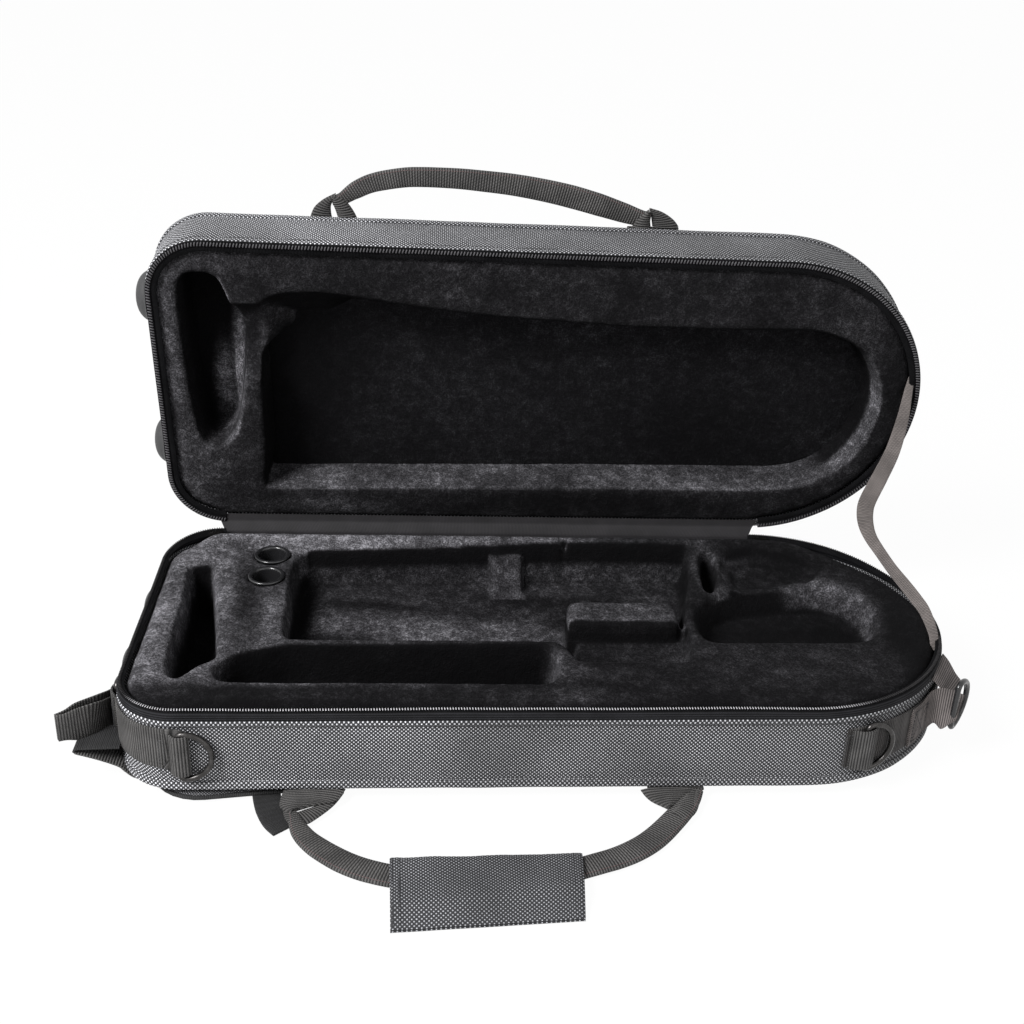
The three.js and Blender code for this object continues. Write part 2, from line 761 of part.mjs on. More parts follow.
function roundEndStation(angle) {
  return wallStation(roundX + roundRadius * Math.cos(angle), roundY + roundRadius * Math.sin(angle), angle);
}

const alongWall = new THREE.Vector3(1, 0, 0);
const upWall = new THREE.Vector3(0, 0, 1);
const barCentre = new THREE.Vector3(0, -barOut, ringMiddleZ);

// A ring and the loop that holds its upright bar. The bow points along the wall, or against it when mirrored.
function ringStation(name, station, mirrored = false) {
  const loop = ringLoop();
  if (mirrored) loop.rotateY(half).translate(0, 0, 2 * ringMiddleZ);
  loop.translate(0, -barOut, 0);
  const along = mirrored ? alongWall.clone().negate() : alongWall;
  addMesh(station, `ring_loop_${name}`, loop, finishes.webbing);
  const ring = wireRing(ringPath, ringWire, ringSides, barCentre, along, upWall);
  addMesh(station, `ring_${name}`, ring, finishes.metal);
}

const endRingY = -68;
ringStation('front_left', wallStation(leftRingX, frontWallY(leftRingX), taperAngle - quarter));
ringStation('front_right', roundEndStation(rightRingAngle));
ringStation('end_left', wallStation(-halfLength, endRingY, half), true);

// Stay ribbon: sewn inside the lid's rim and the base's rim at the round end, slack between them

const ribbonWidth = 12.5;
const ribbonThickness = 1;
// The ribbon's route is drawn as for a cord: shares of half the length and depth, and the rise above the base
const ribbonRoute = [
  [0.9677, 0.938, 132.4], [0.9453, 0.8072, 114.2], [0.9133, 0.6689, 95.3], [0.873, 0.5465, 79.8],
  [0.8365, 0.4409, 67], [0.8267, 0.3906, 60.1], [0.8274, 0.3378, 52.7], [0.8375, 0.2808, 45.6],
  [0.8572, 0.2129, 38.5], [0.8828, 0.1282, 30.1], [0.9102, 0.0436, 22.7], [0.9333, -0.0285, 16.2],
  [0.9516, -0.093, 10.1], [0.9684, -0.1945, -0.9],
];
const ribbonFace = [0, -0.82, 0.57];

const ribbonPlaces = ribbonRoute.map(([x, y, rise]) => [x * halfLength, y * backY, baseHeight + rise]);
addMesh(group, 'stay_ribbon', evenStrap(ribbonPlaces, ribbonWidth, ribbonThickness, ribbonFace), finishes.ribbon);

// Handles: webbing opened flat where it is sewn down, folded in half in the hand

const anchorWidth = 38;
const handleWidth = 19;
const halfFoldWidth = 27;
const anchorThickness = 2;
const handleThickness = 4;
const halfFoldThickness = 3;
const anchorLength = 56;
const handlePivotInset = 1.2;
const handleLead = 6;
const padThickness = 6.4;
const groundZ = -(seat + anchorThickness + seat + padThickness);
const baseAnchorPlaces = { left: -156, right: 84 };
const lidAnchorPlaces = { left: -154.5, right: 77.5 };
const baseHandleReach = 87;
const lidHandleReach = 34;
const handlePivotY = frontWallY(baseAnchorPlaces.left) + handlePivotInset;
const anchorFrontY = handlePivotY + anchorThickness / 2 + seat;

// Sewn-down part of a handle on a big face
function handleAnchor(x, faceZ, out) {
  const z = faceZ + out * (seat + anchorThickness / 2);
  const places = [[x, anchorFrontY, z], [x, anchorFrontY + anchorLength, z]];
  return evenStrap(places, anchorWidth, anchorThickness, upright);
}

for (const side of ['left', 'right']) {
  const baseGeometry = handleAnchor(baseAnchorPlaces[side], 0, -1);
  addMesh(group, `base_handle_anchor_${side}`, baseGeometry, finishes.webbing);
  const lidGeometry = handleAnchor(lidAnchorPlaces[side], lidPanelZ, 1);
  addMesh(lidGroup, `lid_handle_anchor_${side}`, lidGeometry, finishes.webbing);
}

// The strap's end is round about the pivot line, so that it turns there without touching its anchor
const endRoundShares = [[0.9, 0.44], [0.55, 0.84], [0, 1]];

function handleEnd(x, z, way) {
  const station = (back, thick) => ({ at: [x, handlePivotY + back, z], width: anchorWidth, thick, way });
  return [
    ...endRoundShares.map(([back, thick]) => station((back * anchorThickness) / 2, thick * anchorThickness)),
    station(-handleLead, anchorThickness),
  ];
}

// A place along a handle: its share of the way between the anchors, and of the handle's reach from the case
function handlePlace(anchors, reach, [along, out], z) {
  return [anchors.left + along * (anchors.right - anchors.left), handlePivotY - out * reach, z];
}

// A handle strap: the ends open flat, half folded a little further on, and folded in the middle
function handleStrap(anchors, endZ, leftFold, middle, rightFold) {
  const folding = { width: halfFoldWidth, thick: halfFoldThickness };
  const folded = { width: handleWidth, thick: handleThickness };
  return strap([
    ...handleEnd(anchors.left, endZ, [0, -1, 0]),
    { ...leftFold, ...folding },
    ...middle.map((at) => ({ at, ...folded })),
    { ...rightFold, ...folding },
    ...handleEnd(anchors.right, endZ, [0, 1, 0]).reverse(),
  ], upright);
}

const anchorMiddle = seat + anchorThickness / 2;
const gripBackThickness = 6.8;
const gripMiddleZ = groundZ + gripBackThickness / 2;
const liesZ = groundZ + handleThickness / 2;
const baseFoldShares = { left: [-0.0083, 0.2294], right: [1.0125, 0.2064] };
const baseHandleShares = [
  [0.0208, 0.3903], [0.0917, 0.6662], [0.1917, 0.8731], [0.4667, 0.9995], [0.7417, 0.8731], [0.875, 0.6892],
  [0.9833, 0.3903],
];
const gripPlaceFirst = 2;
const gripPlaceLast = 4;

function baseHandlePlace(shares, z) {
  return handlePlace(baseAnchorPlaces, baseHandleReach, shares, z);
}

const baseHandleMiddle = baseHandleShares.map((shares, i) => (
  baseHandlePlace(shares, i >= gripPlaceFirst && i <= gripPlaceLast ? gripMiddleZ : liesZ)
));

addMesh(group, 'base_handle', handleStrap(
  baseAnchorPlaces,
  -anchorMiddle,
  { at: baseHandlePlace(baseFoldShares.left, liesZ), way: [0, -1, 0] },
  baseHandleMiddle,
  { at: baseHandlePlace(baseFoldShares.right, liesZ), way: [0, 1, 0] },
), finishes.webbing);

const lidHandleEndZ = lidPanelZ + anchorMiddle;
const lidHandleFoldZ = lidPanelZ + seat + halfFoldThickness / 2;
const lidHandleZ = lidPanelZ + seat + handleThickness / 2;
const lidFoldShares = { left: [0.0302, 0.4694], right: [0.9741, 0.44] };
const lidFoldWays = { left: [0.42, -0.91, 0], right: [0.5, 0.87, 0] };
const lidHandleShares = [
  [0.0884, 0.6753], [0.2047, 0.9106], [0.3556, 0.9988], [0.5108, 0.9988], [0.6746, 0.8812], [0.8254, 0.6753],
  [0.903, 0.5723],
];

function lidHandlePlace(shares, z) {
  return handlePlace(lidAnchorPlaces, lidHandleReach, shares, z);
}

addMesh(lidGroup, 'lid_handle', handleStrap(
  lidAnchorPlaces,
  lidHandleEndZ,
  { at: lidHandlePlace(lidFoldShares.left, lidHandleFoldZ), way: lidFoldWays.left },
  lidHandleShares.map((shares) => lidHandlePlace(shares, lidHandleZ)),
  { at: lidHandlePlace(lidFoldShares.right, lidHandleFoldZ), way: lidFoldWays.right },
), finishes.webbing);

// Wrap grip: a padded sleeve round the base handle and the flap that closes it

const gripLeft = -104;
const gripRight = 17;
const gripBack = -172;
const gripFront = -235;
const gripFlapThickness = 1.8;
const gripCorner = 3;
const gripChannelClear = 1.2;
const gripFlapInset = 1.5;

function gripSleeve() {
  const cornerList = [
    [gripFront, groundZ, gripCorner], [gripBack, groundZ, gripCorner],
    [gripBack, groundZ + gripBackThickness, gripCorner], [gripFront, groundZ + gripBackThickness, gripCorner],
  ];
  const section = trace(rounded(cornerList, filletSteps));
  const rings = [gripLeft, gripRight].map((x) => section.map(([y, z]) => new THREE.Vector3(x, y, z)));
  const channelStations = baseHandleMiddle.slice(1, -1).map((at) => ({
    at,
    width: handleWidth + 2 * gripChannelClear,
    thick: handleThickness + 2 * seat,
  }));
  return toSolid(skin(rings)).subtract(toSolid(strap(channelStations, upright)));
}

addMesh(group, 'grip_sleeve', toGeometry(gripSleeve()), finishes.nylon);

const flapLowZ = groundZ + gripBackThickness + seat;
addMesh(group, 'grip_flap', box(
  gripLeft,
  gripRight,
  gripFront + gripFlapInset,
  gripBack - gripFlapInset,
  flapLowZ,
  flapLowZ + gripFlapThickness,
), finishes.nylon);

// Shoulder straps: two padded straps under the base, splayed towards the left end, and their tail

const padHalfWidth = 35;
const padLeft = [-231, 86];
const padRight = [118, 37];
const padSteps = 8;
const padEdge = 1.4;

// A long pad with round ends, its centre line from padLeft to padRight on one side of the case
function shoulderPad(side) {
  const [x0, y0] = [padLeft[0], padLeft[1] * side];
  const [x1, y1] = [padRight[0], padRight[1] * side];
  const aim = Math.atan2(y1 - y0, x1 - x0);
  const ring = (inset, z) => flatRing([
    ...arc(x1, y1, padHalfWidth - inset, aim - quarter, aim + quarter, padSteps),
    ...arc(x0, y0, padHalfWidth - inset, aim + quarter, aim + half + quarter, padSteps),
  ], z);
  const top = groundZ + padThickness;
  return skin([ring(padEdge, groundZ), ring(0, groundZ + padEdge), ring(0, top - padEdge), ring(padEdge, top)]);
}

addMesh(group, 'shoulder_pad_front', shoulderPad(-1), finishes.nylon);
addMesh(group, 'shoulder_pad_rear', shoulderPad(1), finishes.nylon);

// Yoke: the patch that both straps are sewn to, flat against the underside
const yokeClear = 3;
const yokeLength = 44;
const yokeHalfWidth = 66;
const yokeLeft = baseAnchorPlaces.right + anchorWidth / 2 + yokeClear;
addMesh(group, 'strap_yoke', box(
  yokeLeft,
  yokeLeft + yokeLength,
  -yokeHalfWidth,
  yokeHalfWidth,
  -seat - anchorThickness,
  -seat,
), finishes.nylon);

const tailWidth = 11;
const tailThickness = 2;
const tailRoute = [[-191, -117, 0], [-186, -132, 0], [-178, -149, 0]];
const tailZ = groundZ + tailThickness / 2;
addMesh(group, 'strap_tail', evenStrap(
  tailRoute.map(([x, y]) => [x, y, tailZ]),
  tailWidth,
  tailThickness,
  upright,
), finishes.webbing);

// End straps: webbing and rings at the two ends of the base

const endWebWidth = 22;
const wrapSteps = 6;
const wrapSlackShare = 0.1;
const wrapRadius = ringWire + seat + webThickness / 2 + wrapSlackShare * webThickness;

// Points round a bar, [across, up], from one angle to another
function wrap([x, y], from, to) {
  return arc(x, y, wrapRadius, from, to, wrapSteps);
}

// Left end: webbing folded round the end ring's bow and drawn together at its tip
const bowWire = [-halfLength - barOut, endRingY + ringReach];
const tipPlace = [-321, -90];
const tipZ = 31;
const endLoopWidth = 18;
const tipAim = Math.atan2(tipPlace[1] - bowWire[1], tipPlace[0] - bowWire[0]);
const tipSpread = webThickness / 2 + seat;

function tipSide(side) {
  const [x, y] = tipPlace;
  return [x - side * tipSpread * Math.sin(tipAim), y + side * tipSpread * Math.cos(tipAim), tipZ];
}

const endLoopRoute = [
  tipSide(-1),
  ...wrap(bowWire, tipAim - quarter, tipAim - quarter - half).map(([x, y]) => [x, y, ringMiddleZ]),
  tipSide(1),
];
const endLoop = evenStrap(endLoopRoute, endLoopWidth, webThickness, upright, true);
addMesh(group, 'end_loop_left', endLoop, finishes.webbing);

// Webbing from the front shoulder strap's end, up and back towards the end loop
const padWebWidth = 24;
const padWebY = -88;
const padWebStart = padLeft[0] - padHalfWidth - seat;
const padWebRoute = [
  [padWebStart, -5.8], [-288, -5.2], [-302, -1], [-310, 5], [-311, 11], [-305, 16], [-297, 17],
];
addMesh(group, 'pad_web_left', evenStrap(
  padWebRoute.map(([x, z]) => [x, padWebY, z]),
  padWebWidth,
  webThickness,
  [0, 1, 0],
  true,
), finishes.webbing);

// Right end: a ring hung from the wall by one folded web and tied back by another
const rightEndAngle = -33 * degrees;
const hungBarOut = 21.8;
const hungBarZ = 44.6;
const hungBar = [-hungBarOut, hungBarZ];
const hungBow = [hungBar[0], hungBar[1] - ringReach];
const wallClear = seat + webThickness / 2;
const upperSeatZs = [60, 47.5];
const lowerSeatZs = [11.5, 3];
const lowerWebWidth = 12;
const alongWallWidth = [1, 0, 0];
const rightEnd = roundEndStation(rightEndAngle);

// A web from the wall round a bar and back, [out, up] in the plane square to the wall
function wallWeb(bar, seatZs, width, slack) {
  const bulge = -wallClear - roundRadius + Math.sqrt(roundRadius ** 2 - (width / 2) ** 2);
  const [high, low] = seatZs;
  const aimHigh = Math.atan2(high - bar[1], bulge - bar[0]);
  const aimLow = Math.atan2(low - bar[1], bulge - bar[0]);
  const from = aimHigh + quarter;
  const to = aimLow + 2 * half - quarter;
  const round = arc(bar[0], bar[1], wrapRadius + slack, from, to, wrapSteps);
  return evenStrap(
    [[-wallClear, high], ...round, [-wallClear, low]].map(([out, up]) => [0, out, up]),
    width,
    webThickness,
    alongWallWidth,
    true,
  );
}

const bowSlack = 1;
const hungCentre = new THREE.Vector3(0, hungBar[0], hungBar[1]);
const downWall = upWall.clone().negate();
const upperWeb = wallWeb(hungBar, upperSeatZs, endWebWidth, 0);
const lowerWeb = wallWeb(hungBow, lowerSeatZs, lowerWebWidth, bowSlack);
addMesh(rightEnd, 'end_web_right_upper', upperWeb, finishes.webbing);
const hungRing = wireRing(ringPath, ringWire, ringSides, hungCentre, downWall, alongWall);
addMesh(rightEnd, 'end_ring_right', hungRing, finishes.metal);
addMesh(rightEnd, 'end_web_right_lower', lowerWeb, finishes.webbing);

// Zip sliders, parked at the two ends of the base coil, with pulls that hang outside the wall

const sliderLength = 11;
const sliderSkirt = 1.2;
const sliderClear = 0.4;
const sliderDrop = 4.4;
const sliderBridge = 1.3;
const bailOut = 2.1;
const bailWire = 0.7;
const bailSpan = 6.4;
const pullWidth = 4.6;
const pullEye = 1;
const pullEyeWall = 0.9;
const pullThickness = 1.2;
const pullLength = 23;
const leftSliderAngle = 101 * degrees;
const rightSliderAngle = 85 * degrees;

const skirtOuter = coilInset - sliderClear;
const skirtInner = coilInset + coilSize + sliderClear + sliderLength ** 2 / (8 * leftCornerRadius);
const sliderLowZ = baseCoilTop - sliderDrop;
const bridgeLowZ = baseCoilTop + seat;
const sliderTopZ = bridgeLowZ + sliderBridge;
const bailY = skirtOuter - sliderSkirt - bailOut;
const bailZ = (sliderLowZ + sliderTopZ) / 2;

// A saddle over the coil: outer and inner skirts, a bridge between them, and a bail outside
function slider() {
  const reach = sliderLength / 2;
  const skirts = [
    box(-reach, reach, skirtOuter - sliderSkirt, skirtOuter, sliderLowZ, sliderTopZ),
    box(-reach, reach, skirtInner, skirtInner + sliderSkirt, sliderLowZ, sliderTopZ),
    box(-reach, reach, skirtOuter - sliderSkirt, skirtInner + sliderSkirt, bridgeLowZ, sliderTopZ),
  ];
  const bar = new THREE.CylinderGeometry(bailWire, bailWire, bailSpan, ringSides);
  bar.rotateZ(quarter).translate(0, bailY, bailZ);
  const posts = [-1, 1].map((side) => {
    const x = (side * bailSpan) / 2;
    const inSkirtY = skirtOuter - sliderSkirt / 2;
    return box(x - bailWire, x + bailWire, bailY - bailWire, inSkirtY, bailZ - bailWire, bailZ + bailWire);
  });
  return [...skirts, bar, ...posts].map(toSolid).reduce((whole, piece) => whole.add(piece));
}

// A pull: an eye round the bail's bar and a flat tab below it, drawn from the side
function pull() {
  const outer = pullEye + pullEyeWall;
  const shape = new THREE.Shape();
  shape.moveTo(-pullThickness / 2, -pullLength);
  shape.lineTo(pullThickness / 2, -pullLength);
  const meet = Math.asin(pullThickness / 2 / outer);
  shape.absarc(0, 0, outer, meet - quarter, -quarter - meet + 2 * Math.PI, false);
  const eye = new THREE.Path();
  eye.absarc(0, 0, pullEye, 0, 2 * Math.PI, false);
  shape.holes.push(eye);
  const geometry = new THREE.ExtrudeGeometry(shape, {
    depth: pullWidth,
    bevelEnabled: false,
    curveSegments: ringSides,
  });
  geometry.translate(0, 0, -pullWidth / 2);
  geometry.rotateX(quarter).rotateZ(quarter);
  geometry.translate(0, bailY, bailZ);
  return toGeometry(toSolid(geometry));
}

const leftCornerStation = wallStation(
  leftX + leftCornerRadius * Math.cos(leftSliderAngle),
  backCornerY + leftCornerRadius * Math.sin(leftSliderAngle),
  leftSliderAngle,
);
const sliderStations = { left: leftCornerStation, right: roundEndStation(rightSliderAngle) };
for (const side of ['left', 'right']) {
  addMesh(sliderStations[side], `slider_${side}`, toGeometry(slider()), finishes.metal);
  addMesh(sliderStations[side], `pull_${side}`, pull(), finishes.metal);
}

// Feet: domed rubber feet on the left end, where the case stands upright

const footRadius = 19;
const footHeight = 10.5;
const footLip = 3;
const footSides = 20;
const footZ = 29;
const lidFootRise = 25;
const footYs = { front: -20, rear: 58 };
const lidFootYs = { front: -65, rear: 58 };

// A domed rubber foot, its flat back against the left wall
function foot() {
  const rings = [];
  const profile = [[footRadius, 0], [footRadius, footLip]];
  for (let i = 1; i <= filletSteps; i += 1) {
    const angle = (quarter * i) / (filletSteps + 1);
    profile.push([footRadius * Math.cos(angle), footLip + (footHeight - footLip) * Math.sin(angle)]);
  }
  for (const [r, x] of profile) {
    const round = arc(0, 0, r, 0, 2 * Math.PI, footSides).slice(0, -1);
    rings.push(round.map(([a, b]) => new THREE.Vector3(-x, a, b)));
  }
  return skin(rings);
}

for (const place of ['front', 'rear']) {
  addMesh(group, `base_foot_${place}`, foot(), finishes.rubber)
    .position.set(-halfLength - seat, footYs[place], footZ);
  addMesh(lidGroup, `lid_foot_${place}`, foot(), finishes.rubber)
    .position.set(-halfLength - seat, lidFootYs[place], baseHeight + lidFootRise);
}

// The lid turns open about the hinge axis: every lid piece is drawn closed, below this turn

const lidTurn = -lidOpenDegrees * degrees;
for (const mesh of lidGroup.children) {
  mesh.position.y -= hingeY;
  mesh.position.z -= hingeZ;
}
lidGroup.position.set(0, hingeY, hingeZ);
lidGroup.rotation.x = lidTurn;

export default group;
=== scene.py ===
import json
import math

import bpy
import numpy as np
from mathutils import Matrix, Vector, noise


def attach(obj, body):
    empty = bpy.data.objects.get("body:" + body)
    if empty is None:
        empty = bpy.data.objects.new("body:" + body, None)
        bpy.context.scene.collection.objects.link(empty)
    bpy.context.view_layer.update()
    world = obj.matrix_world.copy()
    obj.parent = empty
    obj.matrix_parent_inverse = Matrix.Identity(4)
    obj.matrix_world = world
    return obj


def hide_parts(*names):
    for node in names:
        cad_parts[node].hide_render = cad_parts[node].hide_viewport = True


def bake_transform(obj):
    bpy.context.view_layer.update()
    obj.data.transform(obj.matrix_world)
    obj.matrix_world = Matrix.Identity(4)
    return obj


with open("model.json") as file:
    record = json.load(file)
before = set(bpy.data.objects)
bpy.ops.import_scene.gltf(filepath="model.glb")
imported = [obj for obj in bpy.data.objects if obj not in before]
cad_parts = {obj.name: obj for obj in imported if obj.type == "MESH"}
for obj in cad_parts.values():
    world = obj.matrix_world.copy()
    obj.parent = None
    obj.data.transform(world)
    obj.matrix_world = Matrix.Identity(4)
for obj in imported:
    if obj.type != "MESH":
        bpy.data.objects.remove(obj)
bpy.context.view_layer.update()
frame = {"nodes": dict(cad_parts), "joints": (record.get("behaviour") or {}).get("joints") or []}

MM = 0.001

# Plan of the case
HALF_LENGTH = 285.0
BACK_Y = 119.3
FRONT_TAPER = 9.1
LEFT_CORNER = 42.4
TAPER_SLOPE = FRONT_TAPER / (2 * HALF_LENGTH)
TAPER = math.atan(TAPER_SLOPE)
STRETCH = math.hypot(1, TAPER_SLOPE)
ROUND_RADIUS = (2 * BACK_Y - FRONT_TAPER) / (1 + STRETCH - TAPER_SLOPE)
ROUND_X = HALF_LENGTH - ROUND_RADIUS
ROUND_Y = BACK_Y - ROUND_RADIUS
LEFT_X = LEFT_CORNER - HALF_LENGTH
BACK_CORNER_Y = BACK_Y - LEFT_CORNER
FRONT_CORNER_Y = -BACK_Y + TAPER_SLOPE * LEFT_CORNER + STRETCH * LEFT_CORNER
GROUND_Z = -9.0
LID_PANEL_Z = 116.4
QUARTER = math.pi / 2

# The lid is drawn closed and turned open about the hinge axis
hinge = next(j for j in frame["joints"] if j["name"] == "lid_hinge")
HINGE_Y, HINGE_Z = hinge["pos_m"][1] / MM, hinge["pos_m"][2] / MM
LID_OPEN = math.radians(81.5)


def turned(points, angle):
    """Points in mm turned about the lid's hinge axis."""
    p = np.asarray(points, float)
    y, z = p[..., 1] - HINGE_Y, p[..., 2] - HINGE_Z
    c, s = math.cos(angle), math.sin(angle)
    return np.stack([p[..., 0], HINGE_Y + y * c + z * s, HINGE_Z - y * s + z * c], -1)


def open_lid(points):
    return turned(points, LID_OPEN)


def linked(obj):
    bpy.context.scene.collection.objects.link(obj)
    return obj


# Camera at the photograph's angle: its place in mm, its yaw to the right, its pitch down and its roll
CAMERA_PLACE = (-72.15, -844.53, 579.69)
YAW, PITCH, ROLL = 0.05473, 0.47423, 0.03790
CAMERA_LENS = 48.64


def make_camera():
    ahead = Vector((math.sin(YAW) * math.cos(PITCH), math.cos(YAW) * math.cos(PITCH), -math.sin(PITCH)))
    right = Vector((math.cos(YAW), -math.sin(YAW), 0))
    up = right.cross(ahead)
    side = right * math.cos(ROLL) + up * math.sin(ROLL)
    top = up * math.cos(ROLL) - right * math.sin(ROLL)
    data = bpy.data.cameras.new("camera")
    data.lens, data.sensor_width = CAMERA_LENS, 36
    camera = linked(bpy.data.objects.new("camera", data))
    turn = Matrix((side, top, -ahead)).transposed().to_4x4()
    camera.matrix_world = Matrix.Translation(Vector(CAMERA_PLACE) * MM) @ turn
    bpy.context.scene.camera = camera


make_camera()


# Materials. Weaves are in mm along the pieces' flat coordinates, noise scales are per metre

UV, OBJECT = 2, 3  # outputs of the Texture Coordinate node


class Paint:
    """A node material that is written as nested calls."""

    def __init__(self, name, roughness=0.5, **sockets):
        self.material = bpy.data.materials.new(name)
        self.material.use_nodes = True
        self.tree = self.material.node_tree
        self.shader = self.tree.nodes["Principled BSDF"]
        self.fill(self.shader, {"Roughness": roughness, **sockets})

    def fill(self, node, inputs):
        for key, value in inputs.items():
            socket = node.inputs[key.replace("_", " ") if isinstance(key, str) else key]
            if isinstance(value, bpy.types.NodeSocket):
                self.tree.links.new(value, socket)
            else:
                socket.default_value = value

    def set(self, socket, value):
        self.fill(self.shader, {socket: value})

    def node(self, kind, output=0, inputs=None, **properties):
        made = self.tree.nodes.new("ShaderNode" + kind)
        for key, value in properties.items():
            setattr(made, key, value)
        self.fill(made, inputs or {})
        return made.outputs[output]

    def math(self, operation, a, b=0.0, c=0.0):
        return self.node("Math", inputs={0: a, 1: b, 2: c}, operation=operation)

    def times(self, a, b, plus=None):
        """a times b, plus a third value if one is given."""
        return self.math("MULTIPLY", a, b) if plus is None else self.math("MULTIPLY_ADD", a, b, plus)

    def ramp(self, value, low, high, to_low=0.0, to_high=1.0):
        """A smooth step of a value from low to high."""
        inputs = {"Value": value, "From Min": low, "From Max": high, "To Min": to_low, "To Max": to_high}
        return self.node("MapRange", inputs=inputs, interpolation_type="SMOOTHSTEP")

    def mix(self, share, a, b):
        return self.node("Mix", 2, {0: share, 6: (*a, 1), 7: (*b, 1)}, data_type="RGBA")

    def axis(self, kind, index):
        """One of a texture coordinate's three numbers."""
        return self.node("SeparateXYZ", index, {0: self.node("TexCoord", kind)})

    def noise(self, scale, detail=2.0, roughness=0.5):
        inputs = {"Vector": self.node("TexCoord", OBJECT), "Scale": scale, "Detail": detail, "Roughness": roughness}
        return self.node("TexNoise", inputs=inputs)

    def wave(self, value, pitch):
        return self.math("COSINE", self.times(value, 2 * math.pi / pitch))

    def shade(self, color, value):
        self.set("Base Color", self.node("HueSaturation", inputs={"Value": value, "Color": color}))

    def bump(self, height, distance, strength):
        self.set("Normal", self.node("Bump", inputs={"Height": height, "Distance": distance, "Strength": strength}))


def nylon(name, pitch=2.8, row=2.8, light=(0.78, 0.785, 0.82), dark=(0.016, 0.016, 0.019), share=0.30):
    """Coarse ballistic nylon: staggered floats of a thick bright thread over a dark ground, with painted light towards
    its left end and painted shade towards its right.
    """
    m = Paint(name)
    u = m.math("ADD", m.axis(UV, 0), m.times(m.math("SUBTRACT", m.noise(90, 2), 0.5), 1.2))
    v = m.math("ADD", m.axis(UV, 1), m.times(m.math("SUBTRACT", m.noise(70, 2), 0.5), 0.8))
    dots = m.ramp(m.times(m.wave(u, pitch), m.wave(v, row)), -0.25 + share, 0.9)
    blotch = m.ramp(m.noise(14, 3), 0.3, 0.7, 0.72, 1.12)
    fuzz = m.ramp(m.noise(1400, 2), 0.3, 0.75, 0.7, 1.1)
    # Painted light and shade: the cloth is lighter towards the left end and darker round the right end
    x = m.axis(OBJECT, 0)
    far = m.times(m.ramp(x, -0.22, -0.03, 1.14, 0.78), m.ramp(x, 0.14, 0.275, 1.0, 0.62))
    m.shade(m.mix(dots, dark, light), m.times(m.times(blotch, far), fuzz))
    m.set("Roughness", m.ramp(dots, 0, 1, 0.85, 0.42))
    m.bump(dots, 0.0005, 0.9)
    return m.material


def velvet(name, base=(0.002, 0.0019, 0.0022), bright=(0.235, 0.23, 0.25)):
    """Crushed velvet: a black pile, grey where a point attribute paints light, sheen and shade on it, with a random
    crushed mottle.
    """
    m = Paint(name, 0.9, Specular_IOR_Level=0.05)
    # The point attribute carries painted light and shade, times a random mottle; bright is the colour at full painted
    # light
    nap_and_painted_light = m.node("Attribute", 2, attribute_name="nap_and_painted_light")
    blotch = m.ramp(m.noise(95, 4, 0.65), 0.42, 0.72)
    crush = m.ramp(m.noise(330, 3, 0.7), 0.35, 0.75)
    speck = m.ramp(m.noise(950, 2), 0.36, 0.74)
    mottled = m.times(m.math("ADD", m.times(blotch, 0.7), 0.45), m.times(crush, 0.75, 0.44))
    share = m.times(nap_and_painted_light, m.times(mottled, m.times(speck, 0.85, 0.31)))
    m.set("Base Color", m.mix(m.math("MINIMUM", share, 1.0), base, bright))
    m.bump(m.math("ADD", m.times(speck, 0.5), crush), 0.0006, 0.6)
    return m.material


def ribbed(name, color, pitch, along=True, depth=0.0003, roughness=0.75, light=1.9, cross=1.1, gloss=0.3):
    """Narrow woven goods: ribs square to the length, with a finer crossing thread."""
    m = Paint(name, roughness, Specular_IOR_Level=gloss)
    u, v = m.axis(UV, 0 if along else 1), m.axis(UV, 1 if along else 0)
    rib = m.times(m.wave(u, pitch), 0.5, 0.5)
    thread = m.times(m.times(m.wave(v, cross), m.wave(u, 2 * pitch)), 0.25, 0.5)
    height = m.math("ADD", rib, thread)
    tone = m.mix(m.ramp(height, 0.35, 1.35), [c * 0.1 for c in color], [min(1.0, c * light) for c in color])
    m.shade(tone, m.ramp(m.noise(60, 3), 0.3, 0.75, 0.75, 1.25))
    m.bump(height, depth, 0.8)
    return m.material


def moulded(name, color, roughness=0.35, depth=0.00006, wear=0.25, **sockets):
    """Plastic, rubber or plated metal with a fine grain and scuffs."""
    m = Paint(name, roughness, **sockets)
    scuff = m.ramp(m.noise(120, 4, 0.7), 0.45, 0.72)
    m.set("Base Color", m.mix(m.times(scuff, wear), color, [min(1.0, c * (1 + wear * 3)) for c in color]))
    m.set("Roughness", m.ramp(scuff, 0, 1, roughness, min(1.0, roughness + 0.22)))
    m.bump(m.math("ADD", m.noise(900, 2), m.times(scuff, 0.3)), depth, 0.6)
    return m.material


def coil(name, front=(0.46, 0.45, 0.47), back=(0.022, 0.021, 0.022)):
    """Zip teeth of dark plastic with a painted highlight: pale along the front of the case, dark round its ends and
    back.
    """
    m = Paint(name, Specular_IOR_Level=0.12)
    # Painted highlight: the front colour along the front of the case stands in for light on the teeth
    tone = m.mix(m.ramp(m.axis(OBJECT, 1), -0.115, -0.1, 1, 0), back, front)
    m.shade(tone, m.ramp(m.noise(900, 2), 0.3, 0.7, 0.8, 1.1))
    m.bump(m.noise(900, 2), 0.00005, 0.5)
    return m.material


